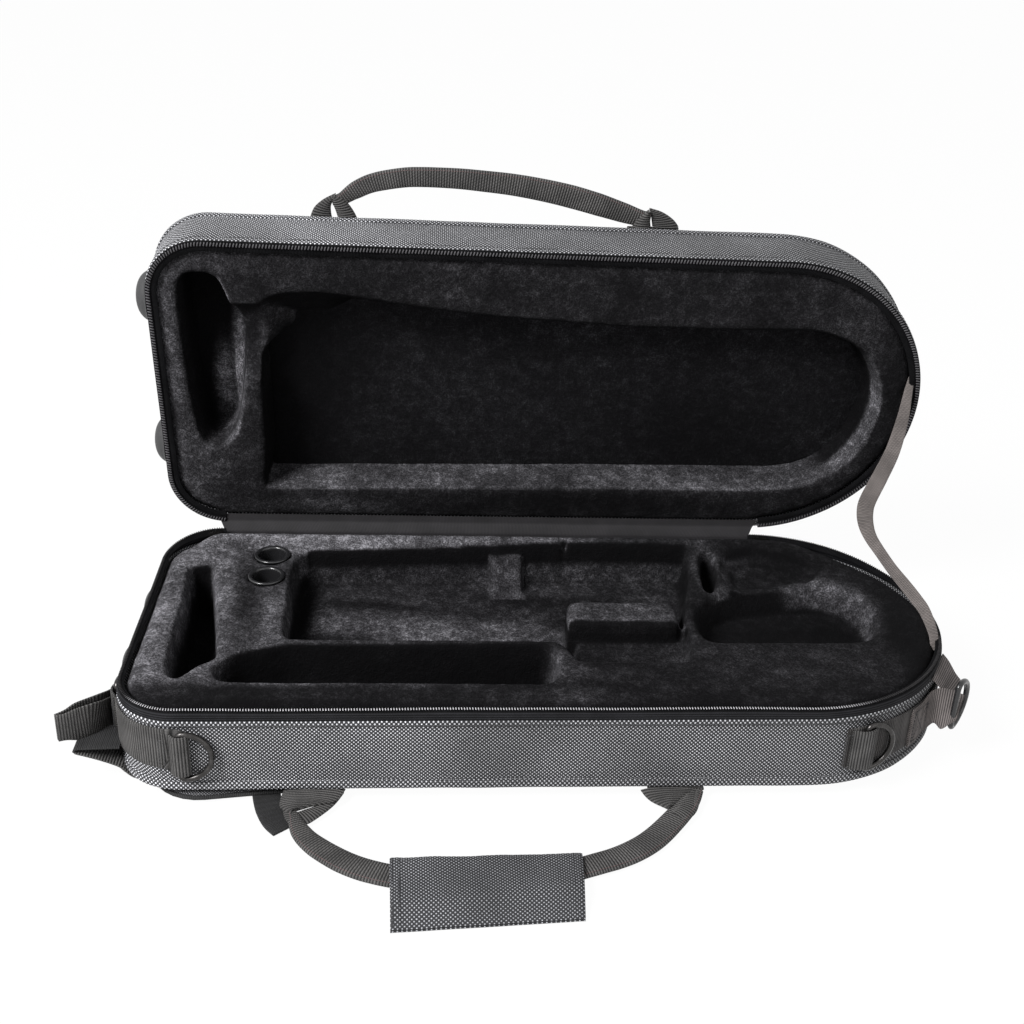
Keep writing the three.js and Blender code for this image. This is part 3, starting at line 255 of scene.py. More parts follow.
# Each material, with the record's slot that its pieces mostly take
MATERIALS = {
    "nylon": (nylon("nylon"), "ballistic_nylon"),
    "welt": (nylon("welt_nylon", pitch=3.0, row=3.4, share=0.2), "ballistic_nylon"),
    "grip": (nylon("grip_nylon", pitch=2.9, row=2.9, light=(0.5, 0.51, 0.54)), "ballistic_nylon"),
    "pad": (nylon("pad_nylon", pitch=2.0, row=2.0, light=(0.42, 0.42, 0.44), share=0.26), "ballistic_nylon"),
    "velvet": (velvet("velvet"), "velvet"),
    "floor_velvet": (velvet("floor_velvet", bright=(0.06, 0.06, 0.066)), "velvet"),
    "webbing": (ribbed("webbing", (0.029, 0.028, 0.0275), 1.9, light=2.7, depth=0.0005), "webbing"),
    "band_web": (ribbed("band_web", (0.028, 0.026, 0.0255), 1.6, light=2.0), "webbing"),
    "end_web": (ribbed("end_web", (0.075, 0.066, 0.064), 1.5, light=1.7, depth=0.00015), "webbing"),
    "binding": (ribbed("binding", (0.012, 0.012, 0.0125), 1.2), "webbing"),
    "ribbon": (ribbed("ribbon", (0.125, 0.11, 0.105), 1.0, depth=0.0001, light=1.3), "ribbon"),
    "tape": (ribbed("tape", (0.0085, 0.0085, 0.0098), 1.7, along=False, light=1.7, gloss=0.12, cross=1.0), "zip_tape"),
    "strip": (ribbed("strip", (0.0115, 0.0105, 0.012), 1.1, depth=0.0001, light=1.35), "zip_tape"),
    "coil": (coil("coil"), "zip_coil"),
    "lid_coil": (moulded("lid_coil", (0.06, 0.058, 0.062), 0.5, Specular_IOR_Level=0.2), "zip_coil"),
    "core": (ribbed("core", (0.0045, 0.0045, 0.005), 1.0, roughness=0.9, gloss=0.04), "zip_coil"),
    "thread": (moulded("thread", (0.035, 0.035, 0.038), 0.6), "webbing"),
    "dark_thread": (moulded("dark_thread", (0.012, 0.012, 0.014), 0.6), "webbing"),
    "handle_thread": (moulded("handle_thread", (0.13, 0.075, 0.075), 0.6), "webbing"),
    "metal": (moulded("metal", (0.045, 0.043, 0.042), 0.26, Metallic=0.9, wear=0.5), "dark_metal"),
    "plastic": (moulded("plastic", (0.012, 0.012, 0.013), 0.22), "black_plastic"),
    "rubber": (moulded("rubber", (0.02, 0.02, 0.021), 0.6, depth=0.0002), "rubber"),
}


# Mesh building: a part is its points in mm, its faces, and flat coordinates in mm for each face corner

def unit(vectors):
    return vectors / np.linalg.norm(vectors, axis=-1, keepdims=True)


def run_length(points):
    """Distances along a line of points."""
    gaps = np.linalg.norm(np.diff(points, axis=0), axis=1)
    return np.concatenate([[0], np.cumsum(gaps)])


def girth(ring):
    """Distances along a closed ring of points, back to its first."""
    return run_length(np.vstack([ring, ring[:1]]))


def cell_quads(n, m, rows, columns):
    """Corners of the cells of an n by m grid, and the cells' rows and columns."""
    i, j = (k.ravel() for k in np.meshgrid(np.arange(rows), np.arange(columns), indexing="ij"))
    i2, j2 = (i + 1) % n, (j + 1) % m
    return np.stack([i * m + j, i * m + j2, i2 * m + j2, i2 * m + j], 1), i, j


def quad_volume(points, quads):
    a, b, c, d = (points[quads[:, k]] for k in range(4))
    return float(np.sum(np.cross(a, b) * c) + np.sum(np.cross(a, c) * d))


def grid(points, us, vs, joined_u=False, joined_v=True, caps=False):
    """Faces over an array of points [n, m, 3]. us runs with n and vs with m, each one longer where joined."""
    p = np.asarray(points, float)
    n, m = p.shape[:2]
    quads, i, j = cell_quads(n, m, n if joined_u else n - 1, m if joined_v else m - 1)
    us = np.asarray(us, float)
    vs = np.broadcast_to(np.asarray(vs, float), (len(us), np.shape(vs)[-1]))
    u = np.stack([us[i], us[i], us[i + 1], us[i + 1]], 1)
    v = np.stack([vs[i, j], vs[i, j + 1], vs[i + 1, j + 1], vs[i + 1, j]], 1)
    uvs, flat = np.stack([u, v], 2), p.reshape(-1, 3)
    flipped = quad_volume(flat, quads) < 0
    faces = (quads[:, ::-1] if flipped else quads).tolist()
    uvs = list(uvs[:, ::-1] if flipped else uvs)
    if caps and joined_v:
        for k, start in ((0, True), (n - 1, False)):
            ring = list(range(k * m, k * m + m))
            if start != flipped:
                ring.reverse()
            spokes = flat[ring] - flat[ring].mean(0)
            along = spokes[0] / (np.linalg.norm(spokes[0]) + 1e-12)
            normal = np.cross(spokes, np.roll(spokes, -1, 0)).sum(0)
            across = np.cross(normal / (np.linalg.norm(normal) + 1e-12), along)
            faces.append(ring)
            uvs.append(np.stack([spokes @ along, spokes @ across], 1))
    return flat, faces, uvs


def loft(rings, us, vs=None):
    """A closed form over a row of rings."""
    rings = np.array(rings)
    return grid(rings, us, girth(rings[0]) if vs is None else vs, caps=True)


def merged(parts):
    points, faces, uvs, offset = [], [], [], 0
    for p, f, t in parts:
        points.append(p)
        faces += [[k + offset for k in face] for face in f]
        uvs += list(t)
        offset += len(p)
    return np.concatenate(points), faces, uvs


def mesh_object(name, points, faces):
    mesh = bpy.data.meshes.new(name)
    mesh.from_pydata((points * MM).tolist(), [], faces)
    mesh.update()
    return linked(bpy.data.objects.new(name, mesh))


def finish_piece(obj, material, body, replaces=(), sharp=42):
    paint, usual_slot = MATERIALS[material]
    obj.data.materials.clear()
    obj.data.materials.append(paint)
    obj.data.polygons.foreach_set("use_smooth", np.ones(len(obj.data.polygons), bool))
    if sharp:
        obj.data.set_sharp_from_angle(angle=math.radians(sharp))
    if isinstance(body, str):
        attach(obj, body)
    else:
        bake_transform(obj)
    if replaces:
        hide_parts(*replaces)
    return obj


def piece(name, parts, material, body="base", replaces=(), sharp=42):
    """A named mesh of parts, riding on a body, or left unparented where two are given as (a, b, start, end). What rides
    on the lid opens with it.
    """
    points, faces, uvs = merged(parts)
    if body in ("lid", "lid_handle"):
        points = open_lid(points)
    obj = mesh_object(name, points, faces)
    layer = obj.data.uv_layers.new(name="UVMap")
    layer.data.foreach_set("uv", np.concatenate(uvs).astype(np.float32).ravel())
    return finish_piece(obj, material, body, replaces, sharp)


def step(value, low, high):
    t = np.clip((value - low) / (high - low), 0, 1)
    return t * t * (3 - 2 * t)


# The outline of the case as a track: place and outward normal at a distance along it

ARC, LINE = "arc", "line"


def plan_segments():
    back_left = (LEFT_X, BACK_CORNER_Y)
    front_left = (LEFT_X, FRONT_CORNER_Y)
    round_end = (ROUND_X, ROUND_Y)
    front_from = (LEFT_X + LEFT_CORNER * math.sin(TAPER), FRONT_CORNER_Y - LEFT_CORNER * math.cos(TAPER))
    front_to = (ROUND_X + ROUND_RADIUS * math.sin(TAPER), ROUND_Y - ROUND_RADIUS * math.cos(TAPER))
    return [
        (ARC, back_left, LEFT_CORNER, QUARTER, 2 * QUARTER),
        (LINE, (-HALF_LENGTH, BACK_CORNER_Y), (-HALF_LENGTH, FRONT_CORNER_Y)),
        (ARC, front_left, LEFT_CORNER, 2 * QUARTER, 3 * QUARTER + TAPER),
        (LINE, front_from, front_to),
        (ARC, round_end, ROUND_RADIUS, TAPER - QUARTER, QUARTER),
        (LINE, (ROUND_X, BACK_Y), (LEFT_X, BACK_Y)),
    ]


SEGMENTS = plan_segments()
LENGTHS = [s[2] * (s[4] - s[3]) if s[0] == ARC else math.dist(s[1], s[2]) for s in SEGMENTS]
STARTS = np.concatenate([[0], np.cumsum(LENGTHS)])
PERIMETER = STARTS[-1]
LEFT_WALL, FRONT_LEFT_ARC, FRONT_WALL, ROUND_ARC, BACK_WALL = STARTS[1:6]


def plan_at(distances):
    """Places [n, 2] and outward normals [n, 2] at distances along the outline."""
    s = np.mod(np.asarray(distances, float), PERIMETER)
    places, normals = np.zeros((len(s), 2)), np.zeros((len(s), 2))
    for k, (kind, a, b, *angles) in enumerate(SEGMENTS):
        here = (s >= STARTS[k]) & (s < STARTS[k + 1] + (1e-9 if k == 5 else 0))
        d = s[here] - STARTS[k]
        if kind == ARC:
            angle = angles[0] + d / b
            normals[here] = np.stack([np.cos(angle), np.sin(angle)], 1)
            places[here] = np.array(a) + normals[here] * b
        else:
            way = unit(np.array(b) - np.array(a))
            places[here] = np.array(a) + way * d[:, None]
            normals[here] = (way[1], -way[0])
    return places, normals


def round_angle(degrees):
    """Distance along the outline of an angle on the round end."""
    return ROUND_ARC + ROUND_RADIUS * (math.radians(degrees) - (TAPER - QUARTER))


def corner_angle(degrees):
    """Distance along the outline of an angle on the front left corner."""
    return FRONT_LEFT_ARC + LEFT_CORNER * (math.radians(degrees) - 2 * QUARTER)


def front_distance(x):
    return FRONT_WALL + (x - SEGMENTS[3][1][0]) * STRETCH


def stations(start, end, step):
    count = max(2, int(round((end - start) / step)) + 1)
    return np.linspace(start, end, count)


def sweep(section, distances, joined=False, closed_section=True, ripple=None):
    """A band of section [inset, z] along the outline. ripple(s, z) is an extra outward shift."""
    section = np.asarray(section, float)
    places, normals = plan_at(distances)
    out = np.zeros((len(distances), len(section), 3))
    for k, (inset, z) in enumerate(section):
        shift = -inset + (ripple(distances, z) if ripple else 0)
        out[:, k, :2] = places + normals * np.broadcast_to(shift, (len(distances),))[:, None]
        out[:, k, 2] = z
    us = np.append(distances, PERIMETER) if joined else distances
    vs = girth(section) if closed_section else run_length(section)
    return grid(out, us, vs, joined_u=joined, joined_v=closed_section, caps=not joined and closed_section)


def smooth_profile(points, step):
    """A finer polyline on the Catmull-Rom curve through points."""
    p = np.asarray(points, float)
    ext = np.vstack([2 * p[0] - p[1], p, 2 * p[-1] - p[-2]])
    out = []
    for k in range(len(p) - 1):
        a, b, c, d = ext[k:k + 4]
        count = max(1, int(math.ceil(np.linalg.norm(c - b) / step)))
        t = (np.arange(count) / count)[:, None]
        spread = (2 * b + (c - a) * t + (2 * a - 5 * b + 4 * c - d) * t ** 2 + (3 * b - a - 3 * c + d) * t ** 3)
        out.append(0.5 * spread)
    out.append(p[-1:])
    return np.vstack(out)


def evenly(rows, count):
    """Rows of numbers, the first of them a place, spaced evenly along their line, after their distances."""
    s = run_length(rows[:, :3])
    even = np.linspace(0, s[-1], count)
    return even, np.stack([np.interp(even, s, rows[:, k]) for k in range(rows.shape[1])], 1)


# Straps: flat, or folded in half along their length
RIB_PITCH = 1.9


def flat_section(width, thick):
    r = min(thick * 0.46, width * 0.3)
    top = [(a, thick / 2) for a in np.linspace(-width / 2 + r, width / 2 - r, 7)]
    right = [(width / 2 - r + r * math.sin(t), thick / 2 * math.cos(t)) for t in (0.7, QUARTER, 2.44)]
    half = top + right
    return np.array(half + [(-a, -b) for a, b in half])


def doubled_section(width, thick):
    """A web folded in half along its length, its two selvedges meeting in a groove at one edge."""
    t = np.arange(28) * 2 * math.pi / 28
    a = np.sign(np.cos(t)) * np.abs(np.cos(t)) ** 0.6 * width / 2
    b = np.sign(np.sin(t)) * np.abs(np.sin(t)) ** 0.75 * thick / 2
    groove = np.where(np.cos(t) > 0, 0.9 * np.exp(-(b / 0.45) ** 2), 0)
    return np.column_stack([a - groove, b])


def strap(stops, face, pitch=RIB_PITCH, ribs=0.12, standing=False, section=flat_section, step=None):
    """A strap through stops (x, y, z, width, thick). face is the way its flat side looks, or its width runs."""
    step = step or pitch / 4
    fine = smooth_profile(stops, step / 2)
    s, rows = evenly(fine, max(3, int(round(run_length(fine[:, :3])[-1] / step)) + 1))
    places = rows[:, :3]
    along = unit(np.gradient(places, axis=0))
    aim = np.broadcast_to(np.asarray(face, float), along.shape)
    across = unit(aim - along * np.sum(aim * along, 1)[:, None] if standing else np.cross(along, aim))
    through = np.cross(across, along)
    rings = []
    for k, row in enumerate(rows):
        ring = section(*row[3:]) * (1, 1 + ribs * math.cos(2 * math.pi * s[k] / pitch))
        rings.append(places[k] + ring[:, :1] * across[k] + ring[:, 1:2] * through[k])
    return loft(rings, s, girth(section(*rows[0][3:])))


def turn_angles(sides):
    return np.arange(sides) * 2 * math.pi / sides


def rods(middles, ways, ups, length, radius, tip=0.4):
    """Many short rods with rounded tips, each at a middle, along a way and with an upper side."""
    ways = unit(ways)
    side = unit(np.cross(ups, ways))
    angle = turn_angles(6)[:, None, None]
    rim = np.cos(angle) * side + np.sin(angle) * np.cross(ways, side)
    rings = [middles + ways * (share * length / 2) + rim * (radius * swell)
             for share, swell in ((-1, tip), (-0.72, 1), (0.72, 1), (1, tip))]
    points = np.stack(rings).transpose(2, 0, 1, 3)
    _, faces, uvs = grid(points[0], np.arange(4), np.arange(7), caps=True)
    faces = [[k + n * 24 for k in face] for n in range(len(middles)) for face in faces]
    return points.reshape(-1, 3), faces, uvs * len(middles)


def stitches(points, normals, pitch, length, radius):
    """Short raised threads, evenly along a line of points."""
    points, normals = np.asarray(points, float), np.broadcast_to(np.asarray(normals, float), np.shape(points))
    s = run_length(points)
    count = max(1, int(s[-1] / pitch))
    where = (np.arange(count) + 0.5) * s[-1] / count
    at = lambda shift, rows: np.stack([np.interp(where + shift, s, rows[:, k]) for k in range(3)], 1)
    return rods(at(0, points), at(0.4, points) - at(-0.4, points), at(0, normals), length, radius, tip=0.25)


def crossed_box(corners, normals, pitch, length, radius, cross=True):
    """A sewn rectangle, with or without its diagonals."""
    lines = [(0, 1), (1, 2), (2, 3), (3, 0)] + [(0, 2), (1, 3)] * cross
    return merged([stitches([corners[a], corners[b]], [normals[a], normals[b]], pitch, length, radius)
                   for a, b in lines])


def lathe(profile, centre, axis=(0, 0, 1)):
    """A closed profile of (radius, height) turned about an axis through a centre."""
    axis, profile = np.asarray(axis, float), np.asarray(profile, float)
    u = unit(np.cross(axis, (0.0, 0.0, 1.0) if abs(axis[2]) < 0.9 else (1.0, 0.0, 0.0)))
    angle = turn_angles(48)[:, None]
    rim = np.cos(angle) * u + np.sin(angle) * np.cross(axis, u)
    rings = np.asarray(centre, float) + rim[:, None] * profile[None, :, :1] + axis * profile[None, :, 1:2]
    us = np.arange(49) * 2 * math.pi / 48 * profile[:, 0].max()
    return grid(rings, us, girth(profile), joined_u=True)


def tube(path, radius, sides, up=(0, 0, 1)):
    """A round bar along a closed path of points. up is square to the path's plane."""
    p = np.asarray(path, float)
    along = unit(np.roll(p, -1, 0) - np.roll(p, 1, 0))
    side = unit(np.cross(along, np.asarray(up, float)))
    over = np.cross(side, along)
    angle = turn_angles(sides)[None, :, None]
    rings = p[:, None] + radius * (np.cos(angle) * side[:, None] + np.sin(angle) * over[:, None])
    return grid(rings, girth(p), np.arange(sides + 1) * radius * 2 * math.pi / sides, joined_u=True)


def wobble(seed, scale, amount):
    """A smooth outward shift (s, z) -> mm that gives cloth over a shell its slight unevenness."""
    return lambda s, z: np.array([amount * noise.noise(Vector((seed, d * scale, z * scale))) for d in np.atleast_1d(s)])


# Shell covers: nylon over stiff walls, with the panel's edge sewn on as a welt

around = stations(0, PERIMETER, 6.0)[:-1]


def cover(section, lid, seed):
    """A tray skin from its big panel's edge, up the wall, over the rim and down the inside, closed by two flats."""
    section = smooth_profile(section, 4.0)
    points, faces, uvs = sweep(section, around, joined=True, closed_section=False, ripple=wobble(seed, 0.025, 0.5))
    n, m = len(around), len(section)
    a, b, c = points[faces[(n // 2) * (m - 1) + m // 4][:3]]
    if np.cross(b - a, c - b)[:2] @ plan_at([around[n // 2]])[1][0] < 0:
        faces, uvs = [f[::-1] for f in faces], [t[::-1] for t in uvs]
    for first, up in ((0, lid), (m - 1, not lid)):
        ring = list(range(first, n * m, m))
        area = np.sum(np.cross(points[ring][:, :2], np.roll(points[ring][:, :2], -1, 0)))
        if (area > 0) != up:
            ring = ring[::-1]
        faces.append(ring)
        uvs.append(points[ring][:, :2])
    return points, faces, uvs


BASE_SECTION = [(6.5, 0), (5, 0.05), (2.4, 0.5), (0.9, 2.2), (0.2, 5), (-0.1, 9), (-0.5, 18), (-0.7, 30), (-0.5, 44),
                (-0.1, 53), (0.15, 55.8), (1, 56.9), (2.2, 57), (3, 56.4), (3, 50), (3, 4), (6, 3.2)]
LID_SECTION = [(6.5, 116.4), (5, 116.35), (2.4, 115.9), (0.9, 114.2), (0.2, 111.4), (-0.2, 107), (-0.6, 95), (-0.5, 80),
               (-0.1, 73), (0.15, 70.4), (1, 69.3), (2.2, 69.2), (3, 69.8), (3, 75), (3, 112), (6, 113)]
piece("base_cover", [cover(BASE_SECTION, False, 3.1)], "nylon", "base", ["base_shell"])
piece("lid_cover", [cover(LID_SECTION, True, 8.7)], "nylon", "lid", ["lid_shell"])

# Folded welts along the big panels' edges, and a turned hem along each rim
fine_around = stations(0, PERIMETER, 2.5)[:-1]


def lump(low, high, out, thick, seed):
    """A soft band on the wall from z low to high, its face standing out by out."""
    mid = (low + high) / 2
    section = [(0.8, low), (-out * 0.6, low + 0.5), (-out, low + 1.6), (-out, mid), (-out * 0.9, high - 1.4),
               (-out * 0.4, high - 0.3), (0.9, high), (thick, mid)]
    return sweep(section, fine_around, joined=True, ripple=wobble(seed, 0.03, 0.4))


def sewn_line(z, out):
    d = stations(0, PERIMETER, 4.0)
    places, normals = plan_at(d)
    points = np.column_stack([places + normals * out, np.full(len(d), z)])
    return stitches(points, np.column_stack([normals, np.zeros(len(d))]), 3.0, 2.1, 0.28)


for name, body, band in (("base_welt", "base", (0.1, 7.2, 1.1, 1.8, 5.0)),
                         ("lid_welt", "lid", (109.2, 116.3, 1.1, 1.8, 6.0)),
                         ("base_hem", "base", (49.6, 54.9, 0.95, 1.6, 15.0)),
                         ("lid_hem", "lid", (68.7, 75.2, 0.95, 1.6, 16.0))):
    piece(name, [lump(*band)], "welt", body)
for body, hem_z, welt_z in (("base", 50.6, 6.0), ("lid", 73.8, 110.4)):
    piece(body + "_hem_stitches", [sewn_line(hem_z, 1.0), sewn_line(welt_z, 1.05)], "thread", body)


# Zip: tapes with lengthwise ridges and rows of teeth on a dark core

ZIP_WAVE, HINGE_RISE, HINGE_LEAN = 0.7, 4.4, 0.35


def zip_lift(distances, seed):
    return ZIP_WAVE * np.array([noise.noise(Vector((seed, d * 0.018, 0.5))) for d in distances])


def hinge_rise(distances):
    """How far the base's tape stands up towards its two ends at the hinge."""
    d = np.asarray(distances, float)
    return HINGE_RISE * (step(-d, -70, -4) + step(d, BACK_WALL - 150, BACK_WALL - 12))


def teeth(z, inset, start, end, pitch, length, radius, slant, seed, rise=0):
    """A row of teeth lying across the tape along the outline."""
    s = np.arange(start + pitch / 2, end, pitch)
    places, normals = plan_at(s)
    out = np.column_stack([normals, np.zeros(len(s))])
    along = np.column_stack([-normals[:, 1], normals[:, 0], np.zeros(len(s))])
    stand = rise * hinge_rise(s)
    middles = np.column_stack([places - normals * (inset - HINGE_LEAN * stand)[:, None],
                               z + (zip_lift(s, seed) + stand)])
    return rods(middles, out + slant * along, np.broadcast_to((0.0, 0.0, 1.0), out.shape), length, radius)


def lifted(section, distances, shares, seed, rise=0):
    """A sweep whose section's points follow the zip's wave by their shares."""
    points, faces, uvs = sweep(section, distances)
    moved = points.reshape(len(distances), len(section), 3).copy()
    stand, shares = rise * hinge_rise(distances), np.asarray(shares)
    moved[:, :, 2] += (zip_lift(distances, seed) + stand)[:, None] * shares
    moved[:, :, :2] += HINGE_LEAN * stand[:, None, None] * shares[:, None] * plan_at(distances)[1][:, None, :]
    return moved.reshape(-1, 3), faces, uvs


BASE_TEETH_Z, LID_TEETH_Z, TEETH_INSET = 62.0, 66.6, 1.5
LID_ZIP_START, LID_ZIP_END = 1.5, BACK_WALL - ROUND_RADIUS * math.radians(5)
BASE_CORE = [(0.3, 60.0), (2.6, 60.0), (4.6, 59.8), (4.6, 60.8), (2.7, 61.4), (0.3, 61.4)]
LID_CORE = [(-0.4, 66.8), (3.4, 66.8), (3.4, 67.9), (-0.4, 67.9)]
BASE_TAPE = [(1.0, 53.9), (-0.55, 54.0), (-0.7, 55.2), (-0.6, 57.4), (-0.35, 59.0), (0.1, 60.0), (0.8, 60.5),
             (1.6, 60.3), (1.6, 57.2), (1.0, 56.8)]
LID_TAPE = [(3.2, 67.7), (4.5, 67.3), (6.2, 67.5), (7.6, 68.1), (7.6, 69.1), (5, 69.0), (3.2, 68.8)]
LID_UNDER_TAPE = [(-0.3, 69.0), (-0.4, 67.6), (3.2, 67.9), (3.2, 69.4), (0.4, 69.4)]
tape_run, lid_run = stations(0, BACK_WALL, 3.0), stations(LID_ZIP_START, LID_ZIP_END, 3.0)
base_teeth = teeth(BASE_TEETH_Z, TEETH_INSET, 0.5, BACK_WALL - 0.5, 1.8, 2.3, 0.38, 0.12, 2.0, 1)
lid_teeth = teeth(LID_TEETH_Z, TEETH_INSET, LID_ZIP_START, LID_ZIP_END, 2.25, 3.2, 0.55, 0.3, 4.0)
piece("zip_teeth_base", [base_teeth], "coil", "base", ["zip_coil_base"], sharp=0)
piece("zip_core_base", [lifted(BASE_CORE, tape_run, [1, 1, 0.5, 0.5, 1, 1], 2.0, 1)], "core")
piece("zip_teeth_lid", [lid_teeth], "lid_coil", "lid", ["zip_coil_lid"], sharp=0)
piece("zip_core_lid", [lifted(LID_CORE, lid_run, [1, 1, 1, 1], 4.0)], "core", "lid")
piece("zip_tape_base_woven", [lifted(BASE_TAPE, tape_run, [0, 0, 0, 0.2, 0.6, 1, 1, 1, 0.3, 0], 2.0, 1)], "tape",
      "base", ["zip_tape_base"])
piece("zip_tape_lid_woven", [sweep(LID_TAPE, lid_run)], "core", "lid", ["zip_tape_lid"])
piece("zip_tape_lid_edge", [sweep(LID_UNDER_TAPE, lid_run)], "core", "lid")


# Hinge strip: one strip of cloth from the base's back edge to the lid's, 5% longer at the lid

STRIP_LEFT, STRIP_RIGHT = -241.6, 168.2
STRIP_FLARE, STRIP_THICK = 0.05, 0.9


def hinge_strip():
    base_tab = [(118.3, 57.2), (118.3, 60.6), (119.4, 61.7), (121.6, 61.4), (124.2, 61.2), (126.4, 62.0)]
    lid_tab = open_lid([(0, 121.0, 65.6), (0, 119.4, 67.6), (0, 116.8, 68.6), (0, 114.2, 69.4)])[:, 1:]
    line = smooth_profile(np.vstack([base_tab, lid_tab]), 0.8)
    way = unit(np.gradient(line, axis=0))
    normal = np.column_stack([way[:, 1], -way[:, 0]]) * STRIP_THICK / 2
    section = np.vstack([line + normal, (line - normal)[::-1]])
    both = lambda half: np.concatenate([half, half[::-1]])
    bulge, flare = both(np.hanning(len(line))), both(np.linspace(0, 1, len(line)) ** 1.5)
    xs = stations(STRIP_LEFT, STRIP_RIGHT, 2.0)
    rings = []
    for x in xs:
        wave = 0.5 * noise.noise(Vector((x * 0.035, 0.3, 1.7)))
        rings.append(np.column_stack([x + (x - (STRIP_LEFT + STRIP_RIGHT) / 2) * STRIP_FLARE * flare,
                                      section[:, 0] + wave * bulge * 0.5, section[:, 1] - (0.5 + wave) * bulge]))
    flat = (run_length(line)[-1] * MM, (STRIP_RIGHT - STRIP_LEFT) * (1 + STRIP_FLARE / 2) * MM)
    return loft(rings, xs, girth(section)), flat


strip_part, strip_flat = hinge_strip()
strip_bodies = ("base", "lid", (0, 119.5 * MM, 61 * MM), (0, 132 * MM, 67.5 * MM))
strip = piece("hinge_strip", [strip_part], "strip", strip_bodies, ["hinge_leaf_base", "hinge_leaf_lid"])


# Velvet liners: foam blocks drawn as height fields with their cavities, remeshed so that their edges soften

def apply_modifiers(obj):
    bpy.context.view_layer.update()
    made = bpy.data.meshes.new_from_object(obj.evaluated_get(bpy.context.evaluated_depsgraph_get()))
    obj.modifiers.clear()
    obj.data = made
    obj.data.name = obj.name


def mesh_arrays(obj):
    """A mesh's points, in mm, and its normals there."""
    arrays = []
    for kind in ("co", "normal"):
        values = np.zeros(len(obj.data.vertices) * 3)
        obj.data.vertices.foreach_get(kind, values)
        arrays.append(values.reshape(-1, 3))
    return arrays[0] / MM, arrays[1]


def set_nap_and_painted_light(obj, values):
    """Painted light and shade on the velvet's pile at each point, with its random mottle."""
    obj.data.attributes.new("nap_and_painted_light", "FLOAT", "POINT").data.foreach_set("value", values.astype(np.float32))


def noise_field(points, scale, seed, octaves=1):
    out = np.zeros(len(points))
    for k in range(octaves):
        f = scale * 2 ** k
        out += np.array([noise.noise(Vector((x * f + seed, y * f, z * f))) for x, y, z in points]) / 2 ** k
    return out


def closed_curve(corners, pitch=4.0):
    """A dense smooth loop through corners."""
    p = np.asarray(corners, float)
    ring = np.vstack([p[-2:], p, p[:2]])
    fine = smooth_profile(ring, pitch)
    lengths, s = run_length(ring), run_length(fine)
    s = s * lengths[-1] / s[-1]
    return fine[(s >= lengths[2]) & (s < lengths[-2])]


def inside_distance(x, y, loop):
    """Distance to a loop of points, positive inside it."""
    a, b = loop, np.roll(loop, -1, 0)
    best = np.full(x.shape, 1e9)
    crossed = np.zeros(x.shape, bool)
    for (ax, ay), (bx, by) in zip(a, b):
        dx, dy = bx - ax, by - ay
        t = np.clip(((x - ax) * dx + (y - ay) * dy) / (dx * dx + dy * dy + 1e-12), 0, 1)
        best = np.minimum(best, (x - ax - t * dx) ** 2 + (y - ay - t * dy) ** 2)
        if ay != by:
            crossed ^= ((ay > y) != (by > y)) & (x < (bx - ax) * (y - ay) / (by - ay) + ax)
    return np.where(crossed, 1, -1) * np.sqrt(best)


def near(x, y, loop, reach):
    """The points close enough to a loop for it to matter."""
    low, high = loop.min(0) - reach, loop.max(0) + reach
    return (x > low[0]) & (x < high[0]) & (y > low[1]) & (y < high[1])


def sink(d, depth, lip, run, fillet):
    """How deep a cavity is at distance d inside its edge: a rolled lip, a steep wall and a rounded foot."""
    roll_depth = lip * 0.8
    roll = roll_depth * (1 - np.sqrt(1 - np.clip((d + lip) / lip, 0, 1) ** 2))
    wall = np.clip(d / run, 0, 1) * (depth - roll_depth - fillet)
    foot = fillet * np.sqrt(1 - (1 - np.clip((d - run) / fillet, 0, 1)) ** 2)
    return roll + wall + foot


def cavity(x, y, deep, corners, depth, lip, run, fillet):
    """Deepens a field by a cavity whose edge runs through corners. run may be a function of place."""
    loop = closed_curve(corners)
    here = near(x, y, loop, lip + 2)
    d = inside_distance(x[here], y[here], loop)
    width = run(x[here], y[here]) if callable(run) else run
    deep[here] = np.maximum(deep[here], sink(d, depth, lip, width, fillet))


def plan_field(inset):
    """Columns of points over the case's plan, and their distance from its edge."""
    def inset_line(distances):
        places, normals = plan_at(distances)
        return places - normals * inset
    front = inset_line(stations(LEFT_WALL + (BACK_CORNER_Y - FRONT_CORNER_Y), round_angle(-3), FIELD_PITCH))
    back = inset_line(np.concatenate([stations(round_angle(3), PERIMETER, FIELD_PITCH),
                                      stations(0.5, LEFT_WALL, FIELD_PITCH)]))[::-1]
    order = np.argsort(back[:, 0], kind="stable")
    xs = np.maximum.accumulate(front[:, 0])
    xs = xs[np.concatenate([[True], np.diff(xs) > 0.02])]
    low = np.interp(xs, front[:, 0], front[:, 1])
    high = np.interp(xs, back[order, 0], back[order, 1])
    y = low[:, None] + (high - low)[:, None] * np.linspace(0, 1, int(2 * BACK_Y / FIELD_PITCH))
    x = np.broadcast_to(xs[:, None], y.shape).copy()
    return x, y, np.maximum(inside_distance(x, y, inset_line(stations(0, PERIMETER, 6)[:-1])), 0)


def field_block(x, y, z, back_z):
    """A closed block between a height field and a flat back."""
    n, m = x.shape
    top = np.stack([x, y, z], 2).reshape(-1, 3)
    faces = cell_quads(n, m, n - 1, m - 1)[0][:, [0, 3, 2, 1]].tolist()
    rim = [k * m for k in range(n)] + [(n - 1) * m + k for k in range(1, m)]
    rim += [k * m + m - 1 for k in range(n - 2, -1, -1)] + [k for k in range(m - 2, 0, -1)]
    back = top[rim].copy()
    back[:, 2] = back_z
    count, start = len(rim), n * m
    for k in range(count):
        after = (k + 1) % count
        faces.append([rim[after], rim[k], start + k, start + after])
    faces.append([start + k for k in range(count - 1, -1, -1)])
    if back_z > z.mean():
        faces = [f[::-1] for f in faces]
    return np.vstack([top, back]), faces


